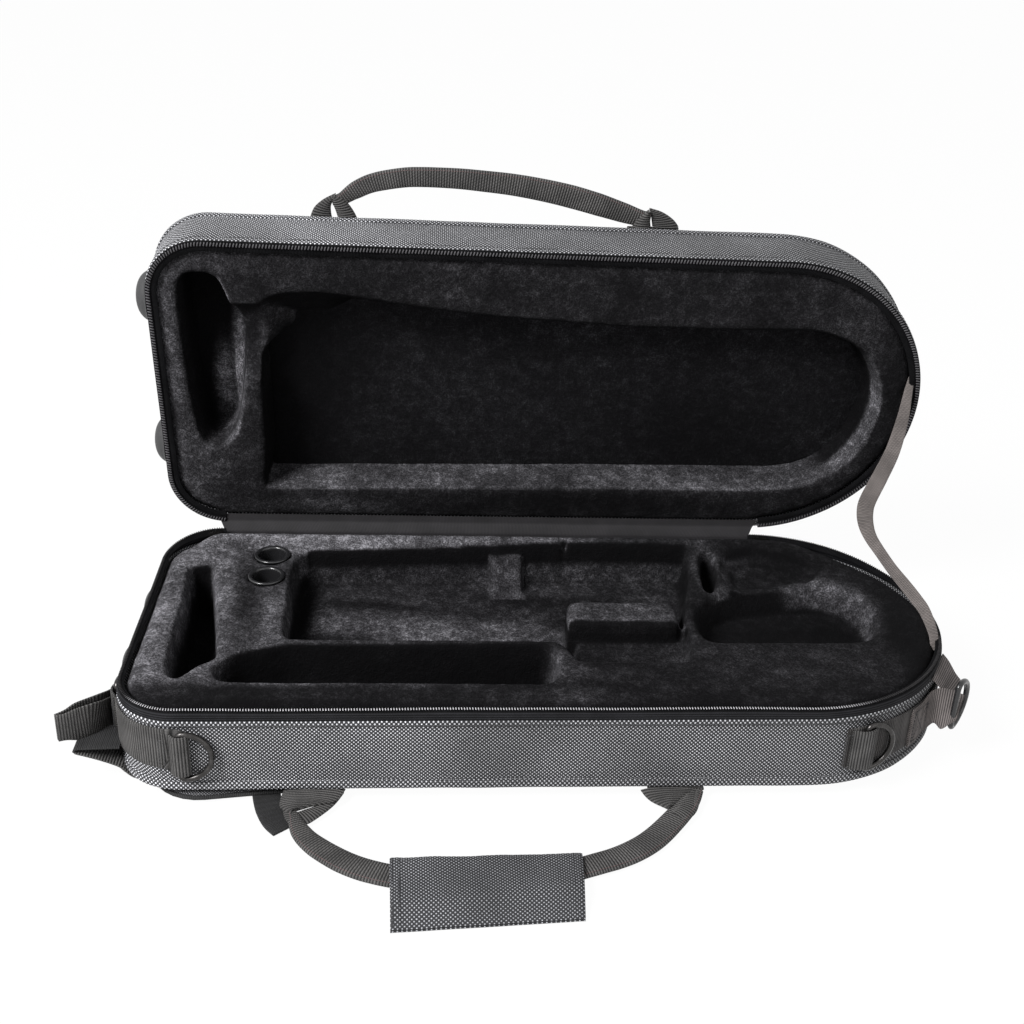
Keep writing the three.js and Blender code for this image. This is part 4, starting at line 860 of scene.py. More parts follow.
def liner(name, points, faces, body, replaces, nap_and_painted_light):
    """A velvet-covered form. Its last argument, a function of points and normals, gives the light and shade painted on
    the pile.
    """
    obj = mesh_object(name, points, faces)
    remesh = obj.modifiers.new("remesh", "REMESH")
    remesh.mode = "VOXEL"
    remesh.voxel_size = LINER_VOXEL * MM
    smooth = obj.modifiers.new("smooth", "SMOOTH")
    smooth.factor, smooth.iterations = 0.5, 4
    apply_modifiers(obj)
    points, normals = mesh_arrays(obj)
    points = points + normals * (LINER_ROUGH * noise_field(points, 0.07, 3.0, 2))[:, None]
    obj.data.vertices.foreach_set("co", (points * MM).ravel())
    obj.data.update()
    set_nap_and_painted_light(obj, np.clip(nap_and_painted_light(*mesh_arrays(obj)), 0, 1.7))
    finish_piece(obj, "velvet", body, replaces, sharp=0)


def laid(tone, value, share):
    """A tone with another laid over it."""
    return tone * (1 - share) + value * share


def spots(x, y, tone, places):
    """Lays soft oval patches over a tone: (x, y, half length, half width, turn in degrees, tone, strength)."""
    for px, py, a, b, turn, value, strength in places:
        c, k = math.cos(math.radians(turn)), math.sin(math.radians(turn))
        u, v = (x - px) * c + (y - py) * k, (y - py) * c - (x - px) * k
        tone = laid(tone, value, strength * np.exp(-((u / a) ** 2 + (v / b) ** 2) ** 1.5))
    return tone


def between(value, low, high, soft_low, soft_high):
    """1 between two limits, 0 outside them, softly."""
    return step(value, low, low + soft_low) * (1 - step(value, high, high + soft_high))


def edge_roll(edge, reach, at_hinge, spared):
    """How far a liner's edge rolls down within reach of it, and less by the share spared at the hinge."""
    return (1 - np.sqrt(1 - np.clip(1 - edge / reach, 0, 1) ** 2 * 0.98)) * (1 - spared * at_hinge)


FIELD_PITCH, LINER_VOXEL = ((1.5, 1.7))
LINER_ROUGH = 0.35
INSERT_TOP = 61.4
RECESS_FLOOR, BLOCK_STEP, PIT_FLOOR, BOW_FLOOR = 31.0, 44.5, 38.0, 38.0
RECESS_DEPTH, CUP_DEPTH_Z, CUP_RADIUS = INSERT_TOP - RECESS_FLOOR, 24.0, 12.4
BLOCK_CROWN, HINGE_SWELL, BASE_ROLL, LID_ROLL = 3.4, 5.0, 7.0, 7.5
CUP_PLACES = [(-203.0, 85.4), (-203.7, 53.3)]
BELL_SLOT = [(-262.1, 64), (-255.5, 69.5), (-246.0, 67.8), (-241, 45), (-236.2, 19.8), (-230.0, -18), (-225.6, -49.4),
             (-228.8, -58.5), (-236.8, -65.2), (-245.8, -77.6), (-251, -77), (-256.0, -66), (-258.2, -33.9),
             (-259.0, 5.5), (-260.7, 40.7)]
LONG_SLOT = [(-223.5, -63.5), (-211.3, -50.4), (-190.0, -42.6), (-172.2, -38.4), (-117.5, -37.6), (-67.2, -36.6),
             (-16.6, -35.4), (-1.4, -36.0), (4.3, -41.8), (6.0, -55), (4.6, -70), (0.5, -79.8), (-12, -82.4),
             (-60, -82.4), (-115.2, -82.4), (-190, -82.8), (-214.5, -82.0), (-222.0, -76.4)]
BODY_RECESS = [(-178, 92), (-168, 94.5), (-90.8, 98.0), (-30, 101.5), (21.0, 104.5), (70, 105), (112, 104), (117.5, 98),
               (116, 72), (110.5, 44), (104.5, 20), (102.0, -5), (100.8, -30), (99.5, -50), (94, -54.8), (60, -55),
               (26, -55), (18.6, -51), (14.5, -39), (7.5, -31.5), (-4, -29.6), (-90, -29.8), (-168, -30.0),
               (-179.5, -28), (-183.4, -18), (-184.6, 20), (-186.0, 57.0), (-184, 80)]
PIT = [(126.0, 87.0), (129, 97), (133.6, 98.6), (138.0, 92), (137.6, 71.6), (133.1, 52), (127.4, 38.8), (122.9, 44.0),
       (123.3, 63.6)]
BOW_RECESS = [(112, -20), (110.5, 2), (118, 22), (134, 38), (160, 47), (192, 52), (212, 52), (228, 42), (239.5, 24),
              (242.5, 4), (237.5, -14), (227, -24), (205, -27), (160, -27.5), (122, -27.5)]
BOW_SADDLE = [(140, 62), (146, 92), (165, 99), (190, 92), (212, 76), (206, 60), (180, 50), (150, 46)]
BLOCK = [(18.5, 18), (22, 23.6), (50, 24.2), (90, 24.2), (95.6, 20), (96.8, 8), (96.8, -4), (92, -6.8), (60, -6.8),
         (22, -6.4), (17.8, -2)]
SEAM = [(19.6, 60), (19.6, 108), (23.6, 108), (23.6, 60)]
BASE_CAVITIES = [(BELL_SLOT, 46, 3.5, 3.0, 5), (LONG_SLOT, 36, 3.0, 3.0, 5),
                 (BOW_RECESS, INSERT_TOP - BOW_FLOOR, 7.0, 7.0, 4), (BOW_SADDLE, 9, 7.0, 8.0, 3),
                 (PIT, INSERT_TOP - PIT_FLOOR, 2.6, 3.0, 4), (BODY_RECESS, RECESS_DEPTH, 3.2, 2.6, 5),
                 (SEAM, RECESS_DEPTH, 2.0, 1.2, 2)]


def base_height(x, y, edge):
    deep = np.zeros(x.shape)
    for corners, depth, lip, run, fillet in BASE_CAVITIES:
        cavity(x, y, deep, corners, depth, lip, run, fillet)
    z = INSERT_TOP - deep
    # The wedge against the recess's back wall, the step and the block on its floor
    wedge = RECESS_FLOOR + np.clip((y - 79) / 19, 0, 1) * 24 - 30 * (1 - between(x, -38, -12, 3, 3))
    z = np.maximum(z, np.where((y > 70) & (y < 104), wedge, 0))
    in_step = between(x, 22.5, 103, 2, 2) * between(y, -60, 4, 2, 4)
    z = np.maximum(z, np.where(in_step > 0.02, RECESS_FLOOR + (BLOCK_STEP - RECESS_FLOOR) * in_step, 0))
    loop = closed_curve(BLOCK)
    here = near(x, y, loop, 6)
    d = inside_distance(x[here], y[here], loop)
    rise = sink(d + 2.6, 1, 0.01, 2.4, 0.1) * (RECESS_DEPTH - BLOCK_CROWN)
    crown = BLOCK_CROWN * np.sqrt(np.clip(1 - (1 - np.clip(d / 6, 0, 1)) ** 2, 0, 1))
    z[here] = np.maximum(z[here], np.where(d > -2.6, RECESS_FLOOR + rise + crown, 0))
    for px, py in CUP_PLACES:
        z = np.where(np.hypot(x - px, y - py) < CUP_RADIUS, CUP_DEPTH_Z, z)
    hinge_from, hinge_to = np.interp(x, [150, 250], [96, 50]), np.interp(x, [150, 250], [112, 80])
    at_hinge = between(x, -272, 190, 28, 60) * step(y, hinge_from, hinge_to)
    return z + HINGE_SWELL * at_hinge * (z > 55) - BASE_ROLL * edge_roll(edge, 11, at_hinge, 0.92)


def base_nap_and_painted_light(p, n):
    # Painted light and shade on the base liner's velvet, by place and by which way each surface faces, times a random
    # mottle
    x, y, z = p.T
    depth = INSERT_TOP - z
    ahead, left = -n[:, 1], -n[:, 0]
    # Painted light: paler towards the left end, darker to the right; the spots are painted pools of light and painted
    # shadows
    flat = np.interp(x, [-270, -215, -120, 0, 110, 200, 260], [1.15, 0.88, 0.36, 0.05, 0.12, 0.19, 0.05])
    tone = spots(x, y, flat, [
        (-150, 108, 150, 20, 1, 1.7, 1), (-20, 112, 60, 12, 1, 1.2, 0.9), (80, 112, 60, 9, 0, 0.26, 0.8),
        (158, 88, 13, 10, 0, 0.42, 0.9),
        (-243, -92, 34, 10, 0, 0.10, 0.9), (-190, -104, 60, 9, 0, 0.03, 1), (-20, -107, 230, 9, 1, 0.05, 1),
        (-150, -91, 70, 5, 0, 0.14, 0.9),
        (-214, 20, 11, 62, 8, 0.12, 0.95), (-205, -20, 10, 22, 0, 0.5, 0.6), (-196, 66, 10, 8, 0, 0.7, 0.6),
        (10, -60, 16, 20, 0, 0.34, 0.8), (52, -100, 60, 7, 0, 0.05, 0.9), (30, -72, 26, 8, 0, 0.32, 0.7),
        (98, -24, 16, 20, 0, 0.22, 0.8),
        (254, -30, 16, 60, 12, 0.02, 1), (190, -85, 40, 8, 24, 0.06, 0.7), (190, 90, 50, 16, -24, 0.04, 0.9)])
    # Painted light along the front top edge, and painted shade where it rolls down to the zip
    front = np.interp(x, [-250, -200, -130, -30, 20, 60, 260], [0.16, 0.055, 0.07, 0.11, 0.19, 0.08, 0.11])
    tone = laid(tone, front, step(-y, 84, 94)) * (1 - 0.55 * step(-y, 100, 107))
    in_recess = between(x, -188, 118, 8, 6) * step(y, -34, -28)
    in_bow = step(x, 108, 112)
    in_slot = step(depth, 12, 30) * (1 - in_recess) * (1 - in_bow)
    low = step(depth, 14, 26)
    # Painted light and painted shadows on the recess floor, painted shade on the bow recess floor and in the slots
    floor = spots(x, y, np.full(len(x), 0.26), [
        (-120, 62, 52, 8, -8, 0.05, 1), (-95, 26, 90, 22, -6, 0.95, 1), (-20, 22, 60, 16, -10, 0.95, 0.9),
        (-150, 10, 40, 14, 0, 0.16, 0.9),
        (10, 70, 60, 12, -8, 0.05, 0.9), (-178, 40, 8, 60, 0, 0.0, 1), (60, 60, 60, 12, 0, 0.12, 0.8),
        (40, -30, 60, 20, 0, 0.26, 1),
        (98, -30, 6, 26, 0, 0.42, 0.8), (30, 44, 22, 7, 0, 0.04, 1), (110, 30, 8, 30, 0, 0.05, 0.8)])
    bow_floor = spots(x, y, np.full(len(x), 0.05), [(172, 10, 50, 20, 0, 0.02, 1)])
    tone = laid(tone, floor, low * in_recess)
    tone = laid(tone, bow_floor, in_bow * step(depth, 3, 14))
    tone = laid(tone, 0.075 * step(y, -74, -45), in_slot)
    # Painted shade makes the pile dark where a wall faces the front, and painted sheen makes it lit where it rolls away
    back_wall = in_recess * step(y, 70, 84) * between(depth, 11, 26, 8, 5)
    tone = laid(tone, 0.012 + 0.32 * back_wall, step(ahead, 0.3, 0.85))
    tone += 0.22 * step(-ahead, 0.18, 0.6) * (1 - step(depth, 2.5, 7)) * (1 - step(x, 150, 240))
    # Painted shade on recess walls that face right
    tone = tone * (1 - step(-left, 0.4, 0.8) * low * in_recess)
    # Painted light on the block's top, painted shade on its front, and a painted lit facet on the back wall
    block_face = (x > 12) & (x < 102) & (y > -16) & (y < 28) & (depth < 9)
    tone = np.where(block_face, 0.62 * step(y, -7.5, -1) * (1 - step(ahead, 0.1, 0.5)) + 0.03, tone)
    tone = np.where((x > -38) & (x < -9) & (y > 74) & (y < 101) & (depth > 6), 0.36, tone)
    # Lit rims: round the pit, at the long slot's end, behind the bow recess and beside the bell slot
    pit_rim = np.exp(-((np.hypot((x - 130.5) / 0.34, (y - 68.5)) - 33) / 7) ** 2) * (1 - step(depth, 5, 9))
    tone = laid(tone, 0.5, np.clip(pit_rim, 0, 1) * 0.8)
    tone = tone + 0.5 * np.exp(-((x - 5) / 5.5) ** 2 - ((y + 60) / 17) ** 2)
    arc = smooth_profile([(192, 55), (212, 53), (227, 45), (237, 31), (240, 14), (234, -8)], 3.0)
    away = np.min(np.hypot(x[:, None] - arc[:, 0], y[:, None] - arc[:, 1]), axis=1)
    tone = laid(tone, 0.62, np.exp(-(away / 7.5) ** 2) * in_bow * (1 - step(depth, 17, 21)))
    rim_x = np.interp(y, [-54, -18, 20, 66], [-224.6, -229.6, -235.6, -242.6])
    tone = tone + 0.28 * np.exp(-((x - rim_x) / 1.3) ** 2) * ((y > -56) & (y < 66) & (depth < 6))
    return tone * (1 + 0.75 * noise_field(p, 0.028, 11.0))


LID_FACE_Z, LID_FLOOR_Z, LID_BACK_Z = 69.3, 100.4, 113.0
LID_SLOT = [(-261.7, -86.5), (-252.7, -92.5), (-238.9, -90.8), (-232.8, -83.8), (-229.1, -71.8), (-224.3, -63.2),
            (-220.2, -53.2), (-218.5, -40.6), (-219.5, -23.0), (-222.3, -0.1), (-225.7, 18.3), (-229.3, 33.4),
            (-235.1, 45.6), (-243.7, 50.2), (-252.9, 49.0), (-257.3, 40.5), (-260.4, 17.3), (-262.6, -18.9),
            (-263.6, -62.9)]
LID_HALL = [(-211.4, 86), (-208.9, 60.3), (-208.2, -3.7), (-209.7, -23.2), (-211.0, -44.8), (-207.9, -65.2),
            (-196.5, -75.1), (-176, -78.2), (-152.5, -77.6), (-99.3, -69.3), (-50, -63.6), (-4.9, -60), (46, -57),
            (96.6, -55.4), (150, -55.4), (192.9, -55.7), (214.6, -51.6), (231.5, -43), (244.2, -31.0), (253.1, -13.0),
            (256.5, 7.3), (253.1, 31.6), (243.7, 54.8), (227.1, 72.3), (205, 81), (180, 84), (93.5, 84.4), (2.4, 85.6),
            (-130, 87.4), (-200, 88.6)]
LID_CREASES = [((-262.5, -103.5), (-257.5, -88)), ((-236, -104), (-234, -90)), ((-222, -85), (-214, -99)),
               ((-243, -105), (-241, -93)), ((210, 74), (214, 86)), ((216, 72), (221, 84)), ((222, 69), (228, 80))]


def hall_run(x, y):
    """Width of the lid cavity's wall: a long scoop in its front left corner, a soft right end."""
    return 2.0 + 26 * (1 - step(x, -165, -118)) * (1 - step(y, -45, -18)) + 5.0 * step(x, 200, 245)


def lid_height(x, y, edge):
    deep = np.zeros(x.shape)
    cavity(x, y, deep, LID_SLOT, 39, 5.0, 3.5, 5)
    shelf = step(x, -233.5, -231) * step(y, -26, -10)
    deep = np.where(deep > 26, deep - (deep - 26) * shelf, deep)
    cavity(x, y, deep, LID_HALL, LID_FLOOR_Z + 1.6 - LID_FACE_Z, 5.0, hall_run, 1.5)
    throat = np.sqrt(np.maximum(0, 38 ** 2 - (y + 38) ** 2)) - 20.2
    deep = np.maximum(deep, np.clip(throat, 0, 18) * np.exp(-((x + 217) / 17) ** 4))
    for (ax, ay), (bx, by) in LID_CREASES:
        t = np.clip(((x - ax) * (bx - ax) + (y - ay) * (by - ay)) / ((bx - ax) ** 2 + (by - ay) ** 2), 0, 1)
        deep += 1.1 * np.exp(-(((x - ax - t * (bx - ax)) ** 2 + (y - ay - t * (by - ay)) ** 2) / 1.3 ** 2))
    at_hinge = between(x, -262, 160, 26, 40) * step(y, 60, 95)
    return LID_FACE_Z + deep + LID_ROLL * edge_roll(edge, 13, at_hinge, 0.75)


def lid_nap_and_painted_light(p, n):
    # Painted light and shade on the lid liner's velvet, by place and by which way each surface faces, times a random
    # mottle
    x, y, z = turned(p, -LID_OPEN).T
    depth = z - LID_FACE_Z
    up, left = n[:, 2], -n[:, 0]
    # Painted light and painted shadows: paler at the left end, with patches of light and shade
    tone = np.interp(x, [-275, -262, -245, -200, 0, 160, 240, 262], [0.55, 0.34, 0.2, 0.15, 0.13, 0.13, 0.2, 0.08])
    tone = spots(x, y, tone, [
        (-246, 74, 16, 16, 0, 0.34, 0.9), (-160, 104, 44, 8, 0, 0.36, 0.95), (-60, 106, 60, 6, 0, 0.05, 0.8),
        (60, 100, 120, 10, 0, 0.04, 0.9),
        (-212, -62, 14, 16, 30, 0.28, 0.8), (-140, -92, 120, 9, 0, 0.13, 0.8), (100, -92, 130, 12, 0, 0.13, 0.7)])
    hall = between(x, -214, 256, 8, 4)
    # Painted light and shade in the cavity's scoop and in the bell slot
    scoop = spots(x, y, np.full(len(x), 0.03), [
        (-176, -56, 44, 18, 8, 0.3, 1), (-204, -20, 12, 26, 0, 0.34, 1), (-130, -58, 40, 10, 10, 0.16, 0.8)])
    tone = laid(tone, scoop, step(depth, 8, 20) * hall)
    slot = spots(x, y, np.full(len(x), 0.004), [
        (-240, 24, 8, 34, 0, 1.5, 1), (-229, 0, 5, 50, 3, 1.6, 1), (-250, -60, 14, 30, 0, 0.0, 1)])
    tone = laid(tone, slot, (1 - hall) * step(depth, 9, 24))
    # Painted light on faces turned up and to the left, painted shade on faces turned down and to the right
    tone = tone + 0.56 * step(up, 0.25, 0.8) * (depth < 33) * step(y, 60, 76) * (1 - step(x, 205, 235))
    tone = tone + 0.85 * step(left, 0.3, 0.8) * (1 - step(depth, 12, 18)) * step(x, 150, 235)
    tone = tone + 1.1 * step(left, 0.3, 0.75) * (1 - step(depth, 5, 14)) * (1 - step(x, -240, -210))
    tone = tone * (1 - 0.92 * step(-up, 0.3, 0.8)) * (1 - 0.85 * step(-left, 0.5, 0.9) * (x < -205))
    # A lighter line painted along the cavity's back lip
    back_lip_line = np.exp(-((y - 84.2) / 1.2) ** 2) * (depth < 3.5) * (x < 200)
    return (tone + 0.15 * back_lip_line) * (1 + 0.75 * noise_field(p, 0.028, 19.0))


x, y, edge = plan_field(5.0)
points, faces = field_block(x, y, base_height(x, y, edge), 4.6)
liner("base_liner", points, faces, "base", ["base_insert", "valve_block", "valve_step"], base_nap_and_painted_light)
x, y, edge = plan_field(4.2)
points, faces = field_block(x, y, lid_height(x, y, edge), LID_BACK_Z)
liner("lid_liner", open_lid(points), faces, "lid", ["lid_insert"], lid_nap_and_painted_light)


def panel_block():
    """The lid cavity's flat cloth floor: a thin plate with a raised edge."""
    loop = closed_curve(LID_HALL, 3.0)
    edge = loop + unit(loop.mean(0) - loop) * 2.0
    middle = edge.mean(0)
    face = np.concatenate([np.linspace(0.02, 0.9, 30), np.linspace(0.92, 1, 8)])
    rows = [(share, 99.3 + 0.9 * step(share, 0.985, 1.0)) for share in face]
    rows += [(share, 101.4) for share in (1.0, 0.5, 0.02)]
    rings = [np.column_stack([middle + (edge - middle) * share, np.full(len(edge), z)]) for share, z in rows]
    return loft(rings, np.arange(len(rings)) * 5.0, girth(edge))


panel = piece("lid_floor_cloth", [panel_block()], "floor_velvet", "lid", ["lid_floor_panel"], sharp=60)
points, _ = mesh_arrays(panel)
# Painted shadow: the floor cloth is dark at its left end, under the divider, and paler to the right; times a random
# mottle
tone = np.interp(points[:, 0], [-210, -165, -110, 240], [0.03, 0.06, 0.32, 0.26])
set_nap_and_painted_light(panel, tone * (1 + noise_field(points, 0.012, 23.0)))


# Mouthpiece rings
CUP_PROFILE = [(10.2, 29.6), (11.4, 29.6), (11.4, 61.2), (12.9, 61.3), (13.45, 61.8), (13.5, 62.4), (13.2, 63.0),
               (12.5, 63.3), (11.3, 63.2), (10.6, 62.7), (10.25, 61.8), (10.2, 60.5)]
for name, place in zip(("rear", "front"), CUP_PLACES):
    piece("mouthpiece_cup_" + name, [lathe(CUP_PROFILE, (*place, 0))], "plastic", "base", ["mouthpiece_ring_" + name],
          sharp=60)


# D-rings and their webbing

UP = np.array([0.0, 0.0, 1.0])
WEB = 1.7
BAND_LOW, BAND_HIGH = 14.0, 45.0
BAND_WIDTH, BAND_MIDDLE = BAND_HIGH - BAND_LOW, (BAND_LOW + BAND_HIGH) / 2
RING_WIRE, RING_HALF, HEEL = 2.0, 17.4, 3.6
RING_REACH = RING_HALF + HEEL
BAR_OUT = 4.3
WRAP = RING_WIRE + 0.3 + WEB / 2
OVER_HEM = 0.75
SMALL_STITCH = (2.6, 2.0, 0.26)


def wall_frame(distance):
    """Place, way along the wall and outward way at a distance along the outline."""
    places, normals = plan_at([distance])
    outward = np.array([*normals[0], 0.0])
    return np.array([*places[0], 0.0]), np.array([-outward[1], outward[0], 0.0]), outward


def d_ring(centre, reach_way, side_way):
    """A bar along the side way, small heels and a round bow."""
    bow = [(HEEL + RING_HALF * math.cos(t), RING_HALF * math.sin(t)) for t in np.linspace(-QUARTER, QUARTER, 29)]
    heel = [(HEEL * (1 - math.sin(t)), RING_HALF - HEEL + HEEL * math.cos(t)) for t in np.linspace(0, QUARTER, 6)[1:]]
    bar = [(0, b) for b in np.linspace(RING_HALF - HEEL, HEEL - RING_HALF, 9)[1:-1]]
    flat = np.array(bow + heel + bar + [(a, -b) for a, b in heel[::-1]])
    return tube(centre + flat[:, :1] * reach_way + flat[:, 1:] * side_way, RING_WIRE, 14,
                up=np.cross(reach_way, side_way))


def wall_loop(distance, direction, band_to, tail=11.0, band_rise=0.0, rise=0.0):
    """Webbing along the wall, round a ring's bar and back over itself. direction is +1 where the bow points on."""
    place, along, outward = wall_frame(distance)
    stops = []
    for d in band_to:
        p, _, o = wall_frame(d)
        stops.append(p + o * (OVER_HEM + WEB / 2) + UP * band_rise)
    way = along * direction
    bar, back = place + outward * BAR_OUT + UP * rise, place - way * tail + UP * rise
    for a in np.linspace(-QUARTER, QUARTER, 7):
        stops.append(bar + WRAP * (way * math.cos(a) * 2.1 + outward * math.sin(a)))
    stops += [bar - way * tail * 0.4 + outward * (WRAP - 0.9),
              back + way * tail * 0.25 + outward * (OVER_HEM + WEB * 2.0),
              back + outward * (OVER_HEM + WEB * 1.55)]
    return strap([[*(p + UP * BAND_MIDDLE), BAND_WIDTH, WEB] for p in stops], UP, standing=True)


def box_stitch(distance, direction, near, far):
    """A sewn rectangle on webbing over the wall."""
    place, along, outward = wall_frame(distance)
    base = place + outward * (OVER_HEM + WEB * 2 + 0.15)
    low, high = BAND_LOW + 2.5, BAND_HIGH - 2.5
    corners = [base - along * direction * a + UP * z for a, z in ((near, low), (far, low), (far, high), (near, high))]
    return crossed_box(corners, [outward] * 4, *SMALL_STITCH, cross=False)


left_ring_at, right_ring_at = front_distance(-240.0), round_angle(-71)
end_ring_at = LEFT_WALL + (BACK_CORNER_Y + 68.0)
left_band = [corner_angle(a) for a in (191.4, 203, 214, 225, 236, 248)] + [left_ring_at - 9, left_ring_at - 4]
piece("corner_web_left", [wall_loop(left_ring_at, 1, left_band, tail=6.0, band_rise=4.2, rise=1.6)], "webbing", "base",
      ["side_band_left", "ring_loop_front_left"])
piece("ring_web_right", [wall_loop(right_ring_at, 1, [right_ring_at - d for d in (9.5, 8, 6, 4)])], "webbing", "base",
      ["ring_loop_front_right"])
piece("ring_web_end", [wall_loop(end_ring_at, -1, [end_ring_at + d for d in (19, 14, 9, 4)])], "webbing", "base",
      ["ring_loop_end_left"])
piece("ring_web_stitches", [box_stitch(left_ring_at, 1, 9.0, 12.0), box_stitch(right_ring_at, 1, 7.5, 15.5),
                            box_stitch(end_ring_at, -1, 7.5, 15.5)], "thread")


def wall_band(start, end):
    d = stations(start, end, 0.45)
    places, normals = plan_at(d)
    ring = flat_section(BAND_WIDTH, WEB)
    rings = []
    for k, rib in enumerate(0.1 * np.cos(2 * math.pi * d / RIB_PITCH)):
        shift = OVER_HEM + WEB / 2 + ring[:, 1] + np.where(ring[:, 1] < 0, 0, rib)
        rings.append(np.column_stack([places[k] + normals[k] * shift[:, None], BAND_MIDDLE + ring[:, 0]]))
    return loft(rings, d, girth(ring))


piece("corner_web_right", [wall_band(round_angle(-77.5), round_angle(-20))], "band_web", "base", ["side_band_right"])
for side, distance, direction in (("front_left", left_ring_at, 1), ("front_right", right_ring_at, 1),
                                  ("end_left", end_ring_at, -1)):
    place, along, outward = wall_frame(distance)
    ring = d_ring(place + outward * BAR_OUT + UP * BAND_MIDDLE, along * direction, UP)
    piece("d_ring_" + side, [ring], "metal", "ring_" + side, ["ring_" + side], sharp=0)


# Stay ribbon: (x, y, z, width)

RIBBON_THICK = 0.9
RIBBON_ROUTE = [(279.6, 118.5, 214.0, 2.5), (275.8, 111.9, 197.6, 6), (269.4, 96.3, 179.4, 9), (260.3, 79.8, 160.5, 11),
                (248.8, 65.2, 145.0, 12), (238.4, 52.6, 132.2, 12.5), (235.6, 46.6, 125.3, 12.5),
                (235.8, 40.3, 117.9, 11.5), (238.7, 33.5, 110.8, 9.5), (244.3, 25.4, 103.7, 8.5),
                (251.6, 15.3, 95.3, 8.5), (259.4, 5.2, 87.9, 9), (266.0, -3.4, 81.4, 9), (271.2, -11.1, 75.3, 8.5),
                (275.4, -22.2, 64.6, 7), (275.2, -31, 55.5, 5.5)]
ribbon = strap([(*row, RIBBON_THICK) for row in RIBBON_ROUTE], (0, -0.82, 0.57), pitch=1.0, ribs=0.05, step=1.5)
ribbon_ends = [tuple(v * MM for v in RIBBON_ROUTE[k][:3]) for k in (-2, 2)]
piece("stay_ribbon_cloth", [ribbon], "ribbon", ("base", "lid", *ribbon_ends), ["stay_ribbon"])


# Handles: a web folded to a narrow strap, whose two halves open out as leaves where it is sewn down

ANCHOR_WIDTH, ANCHOR_THICK, ANCHOR_LENGTH = 38.0, 1.9, 56.0
PIVOT_Y, LEAF_START_Y, LEAF_THICK = -116.04, -115.0, 1.6
BASE_ANCHORS, LID_ANCHORS = (-156.0, 84.0), (-154.5, 77.5)


def leaf(edge_a, edge_b, heights, bulge, up):
    """Ribbed webbing between two selvedges, from where they leave the anchor. heights are its z at the start and at the
    tip, bulge bows it towards up."""
    count = int(max(run_length(np.array(e, float))[-1] for e in (edge_a, edge_b)) / 0.45) + 2
    lines = [smooth_profile(edge, 0.5) for edge in (edge_a, edge_b)]
    a, b = (evenly(line[line[:, 1] <= LEAF_START_Y], count)[1] for line in lines)
    s, share = run_length((a + b) / 2), np.linspace(0, 1, 13)
    arch = np.sin(math.pi * share) ** 0.8
    edge = np.clip(np.minimum(share, 1 - share) / 0.06, 0.35, 1)
    rings = []
    for k, z in enumerate(np.linspace(*heights, count)):
        rib = 0.12 * math.cos(2 * math.pi * s[k] / RIB_PITCH)
        flat, middle = a[k] + (b[k] - a[k]) * share[:, None], z + up * bulge * arch
        top = np.column_stack([flat, middle + up * (LEAF_THICK / 2 + rib) * edge])
        rings.append(np.vstack([top, np.column_stack([flat, middle - up * LEAF_THICK / 2 * edge])[::-1]]))
    return loft(rings, s)


def handle(centre, heights, widths, thick, leaves, up, inset):
    """A handle's doubled strap and its leaves, and the fine line of thread along its outer edge."""
    fine = smooth_profile(centre, 3.0)
    share = run_length(fine) / run_length(fine)[-1]
    z, w = (np.interp(share, np.linspace(0, 1, len(values)), values) for values in (heights, widths))
    rows = np.column_stack([fine, z, w, np.full(len(fine), thick)])
    along = unit(np.gradient(rows[:, :3], axis=0))
    out = np.column_stack([along[:, 1], -along[:, 0], np.zeros(len(rows))])
    thread = rows[:, :3] + out * (rows[:, 3:4] / 2 - inset) + UP * up * (thick / 2 * 0.93)
    parts = [strap(rows, -UP, ribs=0.05, section=doubled_section, step=0.5)] + [leaf(*row, up) for row in leaves]
    return parts, [stitches(thread, UP * up, RIB_PITCH, 1.2, 0.17)]


BASE_STRAP = [(-168.6, -134.8), (-166.3, -139.3), (-162.6, -149.0), (-156.8, -158.6), (-148.5, -167.5),
              (-138.7, -175.5), (-129.8, -181.7), (-120.6, -186.6), (-112.5, -189.8), (-103.8, -192.6), (-88, -196.5),
              (-66, -199.6), (-44, -200.4), (-22, -198.0), (0, -192.0), (18.2, -185.2), (27.2, -181.6), (37.4, -177.4),
              (48.0, -171.6), (58.4, -164.0), (67.7, -154.9), (76.4, -144.6), (85.6, -132.6), (92.5, -121.6),
              (96.6, -112.5)]
BASE_STRAP_WIDTHS = [6, 13, 16.5, 18, 18.8, 19, 19, 18.6, 18, 18, 18, 18, 18, 18.4, 18, 17, 16, 13]
BASE_STRAP_HEIGHTS = [-5.6, -6.0, -6.3, -6.2, -6.0, -6.0, -6.0, -6.0, -6.0, -6.2, -6.2, -5.4, -3.6]
